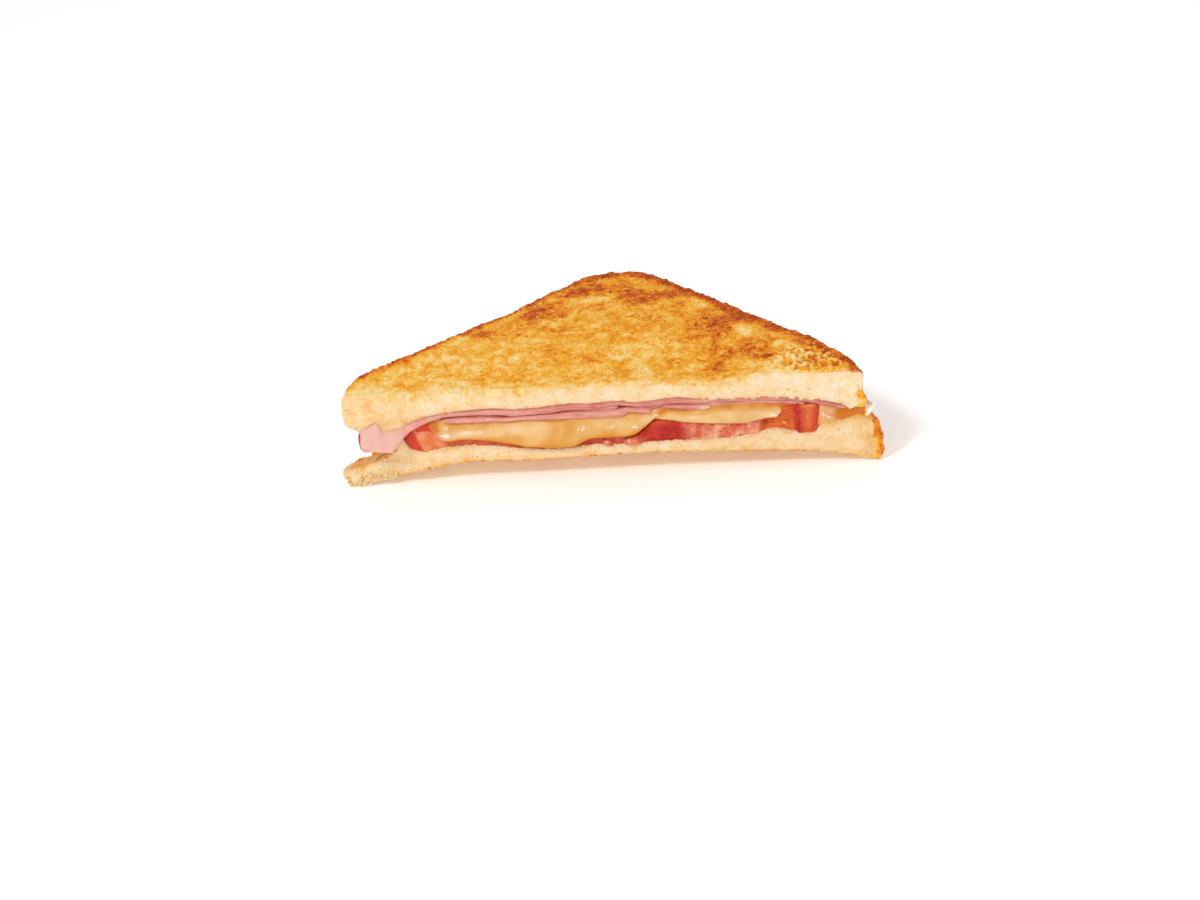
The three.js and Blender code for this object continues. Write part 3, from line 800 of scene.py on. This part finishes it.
def top_front(x):
    corner = rounded((x - TONGUE_END) / 3.4)
    tongue = (0.3 + 0.7 * corner) * (0.74 * ease(-55, -61.5, x) + 0.26 * ease(-45, -56, x))
    return 0.25 * wander(x, 9, 1.3) - 0.35 + 0.5 * window(x, 18, 36, 58, 66) - TONGUE_OUT * tongue


def middle_front(x):
    hollow = 0.1 * ease(-1, -4, x) + 2.6 * window(x, 4.6, 5.4, 7.8, 8.6) + 0.2 * ease(12.5, 14, x)
    hollow += 1.6 * window(x, -46.8, -45.6, -44.5, -42.5)
    return 0.2 + hollow * ease(33, 30, x) * 0.8 + 0.1 * ease(30, 36, x) + 0.3 * wander(x, 6, 4.2)


def lower_front(x):
    return -0.5 + 1.4 * window(x, 13.2, 15, 16, 21) + 0.3 * wander(x, 8, 7.7)


def ham_sheet(material, node, name, left, right, inset, front, upper, lower, tints):
    """A slice of ham: a thin sheet with a rounded, wavy front edge."""
    tip = REACH - inset * math.sqrt(2)
    is_top = node == "ham_top"

    def sheet_place(u, w):
        x = mix(left, right, u)
        out = 1 - abs(2 * w - 1)
        edge = front(x)
        back = max(min(tip - abs(x), tip - 10), edge + 1.0)
        inward = (back - edge) * (1 - out) ** 2.4
        y = edge + inward
        end = rounded(min(x - left, right - x) / HAM_END)
        high, low = upper(x), lower(x)
        half = (low - high) / 2 * (1 + 0.12 * wander(x, 4, high + 3)) + SEAM_OVERLAP
        half = mix(half, min(half, HAM_HALF), ease(4, 14, y))
        curl = mix(0.35, half, ease(-50, -56, x))
        nose = rounded(inward / curl) ** 0.65
        tail = min(1.0, (back - y) / HAM_TAIL)
        droop = TONGUE_DROP * (max(-0.5 - y, 0) / 3.6) ** 1.15 if is_top else 0.0
        middle = ceiling(x, y) - (high + low) / 2 - droop
        middle += 0.1 * noise.noise(Vector((x * 0.2, y * 0.15, high * 5)))
        if is_top:
            middle += 0.95 * max(NOTCH(x), 0.0) * window(y, -2.5, 0.2, 4, 9)
        side = 1 if w < 0.5 else -1
        return spot(x, y, middle + side * half * nose * end * tail)

    bm = grid(HAM_COLUMNS, HAM_ROWS)
    for vert in bm.verts:
        vert.co = sheet_place(vert.co.x + 0.5, vert.co.y + 0.5)
    sealed(bm, 0.004)
    values = {"rim": [], "rosy": [], "pale": []}
    for vert in bm.verts:
        x, y, z = food_mm(vert.co)
        share = (ceiling(x, y) - z - upper(x)) / (lower(x) - upper(x))
        # Painted shade: the tints turn rosier along the creases where one slice of ham meets the next.
        seam = max(ease(0.2, 0.0, share), ease(0.85, 1.05, share)) * ease(2, 0.5, y - front(x))
        note(values, map(limited, tints(x, y - front(x), seam)))
        ripple = 0.1 * rough(vert.co, 3.5, 3) + 0.05 * rough(vert.co, 1.2, 2)
        ripple *= 1 - 0.6 * ease(-0.5, -2, y)
        vert.co += vert.normal * ripple * MM
    return finish_piece(name, to_mesh(bm, name, values), material, [node])


def top_tints(x, inward, seam):
    """How much of a place on the uppermost slice is rind, rosy and pale."""
    corner = ease(-69.4, -70.3, x) * ease(3.4, 2.2, inward)
    corner += ease(-64, -68, x) * ease(0.3, 0.05, inward) * 0.55
    rosy = 0.15 + 0.2 * ease(34, 44, x) - 0.15 * ease(-44, -50, x) + 0.55 * seam * ease(-60, -46, x)
    pale = 0.6 * ease(-52, -62, x) + 0.35 * ease(-44, -50, x) * (1 + wander(x, 2.2, 6.6))
    pale += 0.8 * ease(0.1, 0.4, wander(x, 0.9, 3.6)) * window(x, -53, -51, -45, -42)
    return corner, rosy, pale + 0.3 * window(x, -52, -48, -30, -12) * (1 - seam)


def middle_tints(x, inward, seam):
    # Painted shade, partly the ham's own darker tone: the middle slice is tinted darker rosy where it is set
    # back between the others, and along its creases.
    dark = 0.45 * ease(-1, -4, x) + 0.25 * window(x, 8, 12, 28, 31)
    return 0.0, dark + 0.5 * seam, 0.0


def lower_tints(x, inward, seam):
    return 0.0, 0.2 * window(x, 14, 20, 24, 27) + 0.35 * seam, 0.15 + 0.8 * ease(27, 29, x)


# Node, piece, left and right end, distance from the crust, front, upper and lower face, and tints.
HAM_SLICES = [
    ("ham_top", "ham_slice_top", TONGUE_END, 69, 2.5, top_front, CRUMB_LINE, SEAM_UPPER, top_tints),
    ("ham_middle", "ham_slice_middle", -49, 57.5, 9, middle_front, SEAM_UPPER, SEAM_LOWER, middle_tints),
    ("ham_lower", "ham_slice_lower", -46, 31, 11, lower_front, SEAM_LOWER, HAM_BOTTOM, lower_tints),
]


# ---------- melted cheese ----------

SOFT_VOXEL = 0.4  # grain of the fine skin on the cheese and the tomato, mm
FOLD_ROWS = 30  # of the grid that a fold of cheese is bent from
TUCKED = 0.7  # how far the cheese reaches up behind the ham's edge, mm
FIRM_FRONT = 1.6  # the cheese that hasn't run begins this far behind the cut, mm
FOLD_MIDDLE, FOLD_DEPTH = 0.7, 2.2  # from the cut to a fold's middle, and on from there to its back, mm
LIP_TURN = 0.35  # a fold turns back to its lip this share of half its height below its middle
FLAP_START = 73.4  # the thin end that pokes out on the right begins here, mm along the cut
FLAP_TAPER = (74.6, 77.4)  # it narrows over this length, mm along the cut
FLAP_TIP = (0.6, 18.4)  # to a point at this distance behind the cut and this height, mm
LEFT_LIP = curve([
    (-51.5, 19.0), (-50.3, 17.6), (-49, 16.2), (-47.6, 14.4), (-46.2, 13.3), (-44, 13.1), (-41.5, 13.4),
    (-36, 13.1), (-30, 12.2), (-24.5, 10.8), (-22.5, 10.0), (-13, 9.5), (-9, 9.6), (-6.6, 10.6),
    (-4, 11.7), (5, 11.7), (7.3, 11.9), (9.6, 12.7), (12.1, 14.5), (14.6, 16.6), (16.4, 18.4),
])
RIGHT_LIP = curve([
    (14.5, 17.0), (18.6, 16.3), (23, 15.2), (27.5, 14.8), (36.5, 14.2), (41, 14.2), (44.5, 14.9),
    (47, 15.4), (49, 15.4), (50.2, 16.3), (51.4, 17.2), (53, 17.9), (55, 18.4),
])


def left_top(x):
    """Height of the left fold's upper edge, tucked up behind the ham."""
    return ceiling(x, 0.3) - mix(1.6, HAM_BOTTOM(x), ease(-50, -44, x)) + TUCKED


def right_top(x):
    depth = mix(HAM_BOTTOM(x), SEAM_LOWER(x), ease(29.5, 31.5, x))
    return ceiling(x, 0.3) - depth + TUCKED


def left_bulge(x):
    """How far the melt swells out, as a share of half its height."""
    return 0.62 + 0.2 * ease(-40, -45, x) + 0.04 * wander(x, 9, 6.1)


def right_bulge(x):
    return 0.68 + 0.06 * wander(x, 8, 2.9)


# The thin run of cheese beyond the tomato, lying on the bottom slice's edge.
FILM_LIP = curve([
    (58, 10.4), (60, 11.3), (61.7, 12.2), (63.7, 12.9), (67.8, 13.3), (71.8, 14.4), (73.9, 15.0),
])


def film_top(x):
    return ceiling(x, 0.3) - SEAM_UPPER(x) + 0.5


def film_bulge(x):
    """The same share for the thin run, which lies almost flat where it starts."""
    return mix(0.12, mix(0.36, 0.5, ease(62, 72, x)), ease(60.6, 62.6, x))


def curtain(left, right, lip, top, bulge, columns):
    """Cheese that has run over the cut: a closed fold hanging from under the ham down to its lip."""
    bm = grid(columns, FOLD_ROWS)
    for vert in bm.verts:
        u, w = vert.co.x + 0.5, vert.co.y + 0.5
        x = mix(left, right, u)
        end = math.sqrt(max(0.0, 1 - abs(2 * u - 1) ** 24))
        high = top(x)
        low = min(lip(x), high - 0.5)
        angle = 2 * math.pi * w
        half_height = (high - low) / 2 * end
        height = math.copysign(abs(math.sin(angle)) ** (1.0 if angle < math.pi else 0.8), math.sin(angle))
        forward = math.cos(angle)
        if forward > 0:
            out = (1 - height) / (1 + LIP_TURN)
            if height <= -LIP_TURN:
                out = math.sqrt(1 - ((height + LIP_TURN) / (1 - LIP_TURN)) ** 2)
            y = FOLD_MIDDLE - bulge(x) * half_height * out
        else:
            y = FOLD_MIDDLE - forward * FOLD_DEPTH * end
        vert.co = spot(x, y, (high + low) / 2 + half_height * height)
    return sealed(bm, 0.01)


def joined(parts):
    """Several bmeshes as one, their surfaces still apart."""
    whole = bmesh.new()
    for part in parts:
        carrier = bpy.data.meshes.new("carrier")
        part.to_mesh(carrier)
        part.free()
        whole.from_mesh(carrier)
        bpy.data.meshes.remove(carrier)
    return whole


def set_back(bm):
    """Draws a solid's front back behind a plane, so that the melted folds alone shape it there."""
    for vert in bm.verts:
        if food_mm(vert.co)[0] < FLAP_START:
            vert.co.y = max(vert.co.y, CUT_Y + FIRM_FRONT * MM)
    return bm


# Oily blisters and runs on the cheese's front that catch the light: from (x, z) to (x, z), width, strength.
# Their oil also sets near-white painted highlights in the cheese's colour.
BLISTERS = [
    (-46.4, 16.2, -44.6, 16, 0.8, 1), (-44.6, 16, -36, 15.8, 0.55, 0.5), (-45.2, 18, -44.6, 18, 0.5, 1),
    (-35.2, 16.4, -35.2, 16.4, 0.5, 0.6), (-7.2, 15.6, -6.8, 15.7, 0.4, 1),
    (-5.4, 16.2, -5.4, 16.2, 0.4, 0.9), (-3.8, 16.3, -3.6, 16.3, 0.4, 1),
    (-5.8, 15.2, -5.8, 15.2, 0.4, 0.8), (1.6, 16.4, 1.8, 16.3, 0.4, 0.9),
    (2.6, 15.4, 2.6, 15.4, 0.4, 0.8), (3.4, 15.9, 3.4, 15.9, 0.35, 0.8), (8.7, 15.6, 9.6, 15.5, 0.75, 1),
    (14.6, 18.0, 15.3, 18.4, 0.6, 1), (21, 17.4, 28, 17.2, 0.5, 0.35), (47.6, 16.6, 48.6, 17, 0.6, 1),
    (44, 16.4, 45, 16.4, 0.4, 0.5), (49.2, 16.4, 49.8, 16.9, 0.5, 1), (50.6, 17.6, 50.8, 18, 0.4, 0.9),
    (61.9, 16.4, 62.6, 15.8, 0.35, 1), (62.6, 15.8, 63.9, 15.0, 0.35, 1), (63.9, 15.0, 65, 14.2, 0.35, 1),
]


def blister(x, z):
    """How oily and swollen a place on the cheese's front is; its oil also sets the painted highlights."""
    oily = 0.0
    for x0, z0, x1, z1, width, strength in BLISTERS:
        if min(x0, x1) - 3 * width < x < max(x0, x1) + 3 * width:
            along = (x - x0) * (x1 - x0) + (z - z0) * (z1 - z0)
            share = min(max(along / max((x1 - x0) ** 2 + (z1 - z0) ** 2, 0.01), 0.0), 1.0)
            away = math.hypot(x - mix(x0, x1, share), z - mix(z0, z1, share))
            oily += strength * hump(away, 0, width)
    return min(oily, 1.0)


# Folds of melted cheese: left and right end in mm along the cut, lip, top, swell and columns.
LEFT_FOLDS = [(-51.2, 16.4, LEFT_LIP, left_top, left_bulge, 170)]
RIGHT_FOLDS = [
    (12.4, 54.5, RIGHT_LIP, right_top, right_bulge, 106),
    (58.8, 75.0, FILM_LIP, film_top, film_bulge, 60),
]


def cheese_slice(node, name, material, folds, tints):
    """A slice of cheese: its solid, kept back from the cut, and the folds that have melted over it."""
    parts = [set_back(solid_copy(node)), *(curtain(*fold) for fold in folds)]
    bm = remeshed(joined(parts), name, SOFT_VOXEL, smoothing=5)
    values = {"lip": [], "amber": [], "pale": [], "oil_and_painted_highlight": []}
    for vert in bm.verts:
        x, y, z = food_mm(vert.co)
        # Oil for the gloss, which also sets the painted highlights.
        oily = blister(x, z) * ease(1.5, 0.7, y)
        front = ease(9, 4, y)
        note(values, map(limited, (*(front * tint for tint in tints(x, z)), oily)))
        swell = 0.14 * rough(vert.co, 9, 2) + 0.05 * rough(vert.co, 3, 2) + 0.12 * oily
        vert.co += vert.normal * swell * MM
        taper = 0.88 * ease(*FLAP_TAPER, x)
        vert.co.z += taper * (FLAP_TIP[1] - z) * MM
        vert.co.y += taper * (FLAP_TIP[0] - y) * MM
    return finish_piece(name, to_mesh(bm, name, values), material, [node])


def left_cheese_tints(x, z):
    """How much of a place on the left cheese is yellow lip, amber with painted shade under the ham, and pale
    with painted sheen.
    """
    above = z - LEFT_LIP(x)
    lip = 0.9 * ease(2.4, 0.4, above) + 0.7 * glow(x, z, -15, 11, 5, 1.6) + 0.6 * glow(x, z, -31, 13, 6, 1.4)
    lip += 0.6 * glow(x, z, 0.5, 14.5, 3, 2) + 0.4 * glow(x, z, 6, 12, 8, 1)
    # Painted shade: amber where the cheese lies beneath the ham.
    shade_under_ham = ease(1.6, 0.3, left_top(x) - TUCKED - z)
    amber = 0.95 * ease(-43.5, -47.5, x + 0.5 * (z - 15)) + 0.55 * shade_under_ham * (1 + wander(x, 5, 9.1))
    # Painted sheen: paler patches along the upper front, where it faces up to the light.
    pale = 0.5 * glow(x, z, -40, 15.8, 9, 1.2) + 0.4 * glow(x, z, -24, 16.5, 7, 1.5)
    return lip, amber, pale + 0.5 * glow(x, z, 13.5, 17, 3, 1.5) + 0.25 * glow(x, z, 4, 16, 7, 1.5)


def right_cheese_tints(x, z):
    lip = 0.5 * ease(1.3, 0.1, z - RIGHT_LIP(x)) * window(x, 20, 26, 50, 52)
    lip += ease(60, 62, x) * (0.5 + 0.4 * ease(65, 69, x))
    # Painted shade: amber where the cheese lies beneath the ham.
    shade_under_ham = ease(1.9, 0.5, right_top(x) - TUCKED - z)
    amber = shade_under_ham * (0.85 * window(x, 14, 17, 23, 27) + 0.6 * window(x, 29, 32, 50, 53))
    amber += 0.9 * window(x, 49.5, 51.5, 59, 61) + 1.1 * glow(x, z, 67.6, 15.2, 3.8, 1.2)
    amber += 0.5 * glow(x, z, 72, 16, 2.5, 0.8) + 0.35 * ease(60, 62, x)
    pale = 0.25 * ease(1.5, 2.2, right_top(x) - TUCKED - z) * ease(50, 46, x)
    pale += 0.3 * window(x, 61, 62, 64, 67) + 0.25 * ease(61, 63, x) * ease(1.0, 0.1, z - FILM_LIP(x))
    # Painted sheen: paler round the glint near x 48.
    pale += 0.4 * glow(x, z, 48, 16.5, 3, 1.5)
    flap = ease(73.8, 75.0, x)
    return lip * (1 - flap), amber * (1 - flap), max(pale, flap)


# ---------- tomato ----------

def lump(place, radii):
    """A rounded lump of soft flesh."""
    bm = bmesh.new()
    bmesh.ops.create_icosphere(bm, subdivisions=3, radius=1)
    for vert in bm.verts:
        vert.co = spot(*(middle + radius * part for middle, radius, part in zip(place, radii, vert.co)))
    return bm


FLESH_OUT, FLESH_SAG = 0.75, 0.35  # how far the flesh swells out of the cut and its lower edge sags, mm


def tomato_slice(node, name, material, reshape, tints, lumps=()):
    """A slice of tomato: its solid and the soft lumps on it, in one wet skin."""
    parts = [solid_copy(node), *(lump(place, radii) for place, radii in lumps)]
    bm = remeshed(joined(parts), name, SOFT_VOXEL, smoothing=2)
    values = {"flesh": [], "jelly": [], "skin": []}
    for vert in bm.verts:
        x, y, z = food_mm(vert.co)
        note(values, map(limited, tints(x, y, z)))
        wet = 0.2 + 0.12 * rough(vert.co, 3.0, 3) + 0.07 * rough(vert.co, 1.1, 2)
        move = vert.normal * wet + Vector(reshape(x, y, z))
        move.y -= FLESH_OUT * ease(4, 0.8, y)
        move.z -= FLESH_SAG * ease(0.2, -0.6, vert.normal.z) * ease(4, 0.8, y)
        vert.co += move * MM
    return finish_piece(name, to_mesh(bm, name, values), material, [node])


def left_lean(x, y, z):
    """How the left tomato leaves its solid: a slanting left end that rises to the melt."""
    front = ease(4, 0.5, y)
    lean = 0.54 * (15.5 - z) * ease(-50, -57, x) * front + 0.5 * ease(3, 5.4, x)
    up = 1.9 * ease(13, 16.5, z) * window(x, -58.5, -55, -50, -44)
    return lean, 0.5 * ease(-52, -48, x) * front, up * ease(9, 3, y)


def left_tomato_tints(x, y, z):
    """How much of a place on the left tomato is pale flesh, jelly and skin; the skin's dark red also paints
    shade under the ham.
    """
    inner = -54.4 + 0.4 * wander(z, 1.5, 3.1)
    core = ease(inner - 0.6, inner + 1.8, x + 0.25 * (z - 12))
    flesh = core * (1.0 * ease(-44, -48, x) + 0.2 * ease(-48, -44, x) * (1 + wander(x, 3, 7.3)))
    orange = core * (0.55 * ease(-44, -48, x) + 0.3 * window(x, -48, -44, -30, -20))
    skin = ease(inner + 0.5, inner - 0.5, x) * ease(9, 3, y)
    # Painted shade: a dark red band along the top, under the ham.
    skin += ease(14.9, 16.1, z + 0.3 * wander(x, 1.5, 3.3)) * window(x, -54.5, -53.5, -48, -47)
    return flesh, orange, skin


def right_hollow(x, y, z):
    """How the right tomato leaves its solid: hollow jelly and wet flesh between firmer walls."""
    jelly = window(x, 43.6, 46, 53.4, 55)
    wet = window(x, 8, 14, 19, 26)
    along = -0.5 * ease(7.5, 5.8, x) + 0.9 * ease(11, 18, z) * ease(57, 60, x)
    up = 1.6 * ease(14, 16.8, z) * ease(54.0, 55.6, x) * ease(9, 3, y)
    hollow = 1.3 * jelly * ease(15.5, 14.5, z) + 0.8 * wet + 1.3 * glow(x, z, 45.6, 13.6, 1.1, 0.9)
    return along, hollow * ease(5, 0.5, y), up


def right_tomato_tints(x, y, z):
    pulp = glow(x, z, 1.4, 10.4, 1.7, 1.3) + glow(x, z, 8.3, 10.2, 2.4, 0.9)
    streak = hump(x, 58 + 0.3 * wander(z, 1.5, 2.2), 0.8)
    top_film = 0.8 * ease(16.5, 17.0, z) * ease(55.5, 56.5, x)
    flesh = window(x, 21, 27, 44, 46) + 0.9 * pulp + 0.2 * streak + top_film
    jelly = 0.9 * window(x, 43.6, 46, 53.6, 54.6) + 0.3 * ease(55.5, 56.5, x) + 0.35 * streak
    jelly += 0.3 * ease(24, 16, x) * ease(14, 15.5, z) + 0.35 * pulp * ease(5, 6, x)
    jelly *= 1 - 0.5 * window(x, 50, 51, 54, 54.6) * ease(14.6, 15.4, z)
    # Skin at the right end, and painted shade in the jelly's hollow near x 46.
    skin = ease(58.7, 60.4, x) + 0.8 * glow(x, z, 46, 13.5, 0.9, 1) + 0.6 * glow(x, z, 58.5, 11, 2, 1.2)
    skin += 0.45 * glow(x, z, 54.6, 14, 0.5, 2.5)
    return flesh, jelly, skin


# Soft lumps and clear seeds, each a place and its three radii in mm.
PULP = [((0.8, 0.8, 10.6), (1.0, 0.9, 0.5)), ((1.8, 0.9, 10.2), (1.2, 0.9, 0.4)),
        ((7.4, 0.7, 10.1), (1.1, 1.0, 0.5)), ((9.2, 0.7, 10.5), (1.0, 1.0, 0.5)),
        ((52.6, 0.9, 17.1), (2.2, 1.0, 1.9)), ((55.1, 1.4, 17.8), (0.8, 0.5, 0.8)),
        ((54.4, 1.7, 18.5), (0.8, 0.5, 0.6))]
SEEDS = [((51.3, 1.0, 13.3), (0.75, 0.5, 0.5))]


def tomato_seeds():
    soft = {"Subsurface_Weight": 0.2, "Subsurface_Scale": 0.001, "Roughness": 0.2}
    material = new_material("tomato_seed", (1.0, 0.6, 0.3), Base_Color=paint(236, 156, 74), **soft)[0]
    bm = joined([lump(place, radii) for place, radii in SEEDS])
    return finish_piece("tomato_seeds", to_mesh(bm, "tomato_seeds"), material)


# ---------- crumbs ----------

# How many cling to the top slice's edge, and to the bottom slice's left end, its peak and its edge.
TOP_CRUMBS, END_CRUMBS, PEAK_CRUMBS, EDGE_CRUMBS = 150, 420, 40, 160


def crumb_spots():
    """Where loose crumbs cling: place and size in mm, and how toasted each one is."""
    chance = random.Random(12)
    for _ in range(TOP_CRUMBS):
        x = chance.uniform(-58, 73) if chance.random() < 0.4 else 73 - abs(chance.gauss(0, 17))
        z = ceiling(x, 0.1) + abs(chance.gauss(0.1, 0.5))
        size = 0.1 + 0.12 * chance.random() ** 2
        yield (x, chance.uniform(-0.05, 0.15), z), size, chance.uniform(0.2, 0.6)
    for _ in range(END_CRUMBS):
        x = chance.uniform(-76, -61)
        low = face_height("bread_bottom", x, 0.1, False) or 0.5
        z = low + abs(chance.gauss(0.2, 1.2))
        yield (x, chance.uniform(-0.1, 0.25), z), chance.uniform(0.12, 0.34), chance.uniform(0.1, 0.6)
    for _ in range(PEAK_CRUMBS):
        x = chance.uniform(-64.5, -59.5)
        z = ground(x, 0.1) + chance.gauss(0.1, 0.4)
        yield (x, chance.uniform(-0.4, 0.5), z), chance.uniform(0.2, 0.4), chance.uniform(0.4, 1)
    for _ in range(EDGE_CRUMBS):
        x = chance.uniform(-54, 56)
        z = ground(x, 0.1) + chance.gauss(0, 0.2)
        yield (x, chance.uniform(-0.2, 0.2), z), chance.uniform(0.1, 0.22), 0.1


def loose_crumbs():
    soft = {"Subsurface_Weight": 0.2, "Subsurface_Scale": 0.001, "Roughness": 0.9, "Specular_IOR_Level": 0.15}
    material, tree, shader = new_material("loose_crumb", (1.0, 0.6, 0.3), **soft)
    stops = [(0.0, (255, 238, 206)), (0.4, (250, 210, 140)), (1.0, (222, 146, 62))]
    fill(tree, shader.inputs, {"Base Color": ramp(tree, attribute(tree, "toasting"), stops)})
    chance = random.Random(31)
    bm = bmesh.new()
    toasting = []
    for place, size, toasted in crumb_spots():
        made = bmesh.ops.create_icosphere(bm, subdivisions=2, radius=1)["verts"]
        squash = [chance.uniform(0.55, 1.4) * size for _ in range(3)]
        for vert in made:
            bumpy = 1 + 0.6 * noise.noise(vert.co * 1.6 + Vector(place))
            shape = (middle + radius * part * bumpy for middle, radius, part in zip(place, squash, vert.co))
            vert.co = spot(*shape)
            toasting.append(toasted)
    mesh = to_mesh(bm, "loose_crumbs", {"toasting": toasting})
    return finish_piece("loose_crumbs", mesh, material)


# ---------- building the sandwich ----------

def build_sandwich():
    bread, ham, cheese, tomato = bread_material(), ham_material(), cheese_material(), tomato_material()
    bread_slice("bread_bottom", "toast_slice_bottom", bread)
    bread_slice("bread_top", "toast_slice_top", bread)
    tomato_slice("tomato_left", "tomato_slice_left", tomato, left_lean, left_tomato_tints)
    tomato_slice("tomato_right", "tomato_slice_right", tomato, right_hollow, right_tomato_tints, PULP)
    tomato_seeds()
    for sheet in HAM_SLICES:
        ham_sheet(ham, *sheet)
    cheese_slice("cheese_left", "cheese_melt_left", cheese, LEFT_FOLDS, left_cheese_tints)
    cheese_slice("cheese_right", "cheese_melt_right", cheese, RIGHT_FOLDS, right_cheese_tints)
    loose_crumbs()


# ---------- floor, light and camera ----------

FLOOR_REACH = 3.0  # from the sandwich to the floor's edge, m
FLOOR_GLOW = 0.17  # light of its own, so that it stays near white


def build_floor():
    floor = bpy.data.objects.new("pale_floor", to_mesh(grid(1, 1, FLOOR_REACH), "pale_floor"))
    bpy.context.scene.collection.objects.link(floor)
    looks = {"Base_Color": paint(254, 254, 253), "Roughness": 0.9}
    glowing = {"Emission_Color": (1, 1, 1, 1), "Emission_Strength": FLOOR_GLOW}
    floor.data.materials.append(new_material("pale_floor", **looks, **glowing)[0])


SKY, SKY_STRENGTH = (1.0, 0.995, 0.985, 1.0), 0.44
SANDWICH = (0, 0, 0.01)  # what most lamps point at, m
LAMPS = [  # name, place, target and diameter in m, power in W
    ("key", (-0.5, -0.6, 0.95), SANDWICH, 0.3, 5.8),
    ("low", (-0.135, -1.0, 0.38), SANDWICH, 0.16, 0.9),
    ("fill", (-0.75, -0.8, 0.16), (-0.06, 0, 0.01), 0.4, 0.6),
    ("side", (0.95, -0.15, 0.35), SANDWICH, 0.5, 1.8),
    ("top", (0.05, 0.6, 0.85), SANDWICH, 0.7, 2.0),
]


def soft_light(name, place, target, size, power):
    data = bpy.data.lights.new(name, "AREA")
    data.shape = "DISK"
    data.size = size
    data.energy = power
    lamp = bpy.data.objects.new(name, data)
    bpy.context.scene.collection.objects.link(lamp)
    lamp.location = place
    lamp.rotation_euler = (Vector(target) - Vector(place)).to_track_quat("-Z", "Y").to_euler()


def build_light():
    world = bpy.data.worlds.new("studio")
    bpy.context.scene.world = world
    world.use_nodes = True
    back = world.node_tree.nodes["Background"]
    back.inputs["Color"].default_value = SKY
    back.inputs["Strength"].default_value = SKY_STRENGTH
    for lamp in LAMPS:
        soft_light(*lamp)


AZIMUTH, ELEVATION, ROLL = 8.04, 28.39, 6.83  # degrees
CAMERA_DISTANCE = 800  # mm
AIM = (-1.75, 0.0, 7.95)  # mm along the cut, behind it and above the plate
LENS, SENSOR = 84.15, 36  # mm
NEAR_AND_FAR = (0.01, 20)  # m


def build_camera():
    azimuth, elevation, roll = (math.radians(a) for a in (AZIMUTH, ELEVATION, ROLL))
    back = Vector((math.sin(azimuth) * math.cos(elevation), -math.cos(azimuth) * math.cos(elevation),
                   math.sin(elevation)))
    level = Vector((math.cos(azimuth), math.sin(azimuth), 0))
    upright = back.cross(level)
    right = level * math.cos(roll) - upright * math.sin(roll)
    up = level * math.sin(roll) + upright * math.cos(roll)
    data = bpy.data.cameras.new("camera")
    data.lens = LENS
    data.sensor_width = SENSOR
    data.clip_start, data.clip_end = NEAR_AND_FAR
    camera = bpy.data.objects.new("camera", data)
    bpy.context.scene.collection.objects.link(camera)
    place = spot(*AIM) + back * CAMERA_DISTANCE * MM
    camera.matrix_world = Matrix.Translation(place) @ Matrix((right, up, back)).transposed().to_4x4()
    bpy.context.scene.camera = camera


build_sandwich()
build_floor()
build_light()
build_camera()
bpy.context.scene.view_settings.view_transform = "Standard"
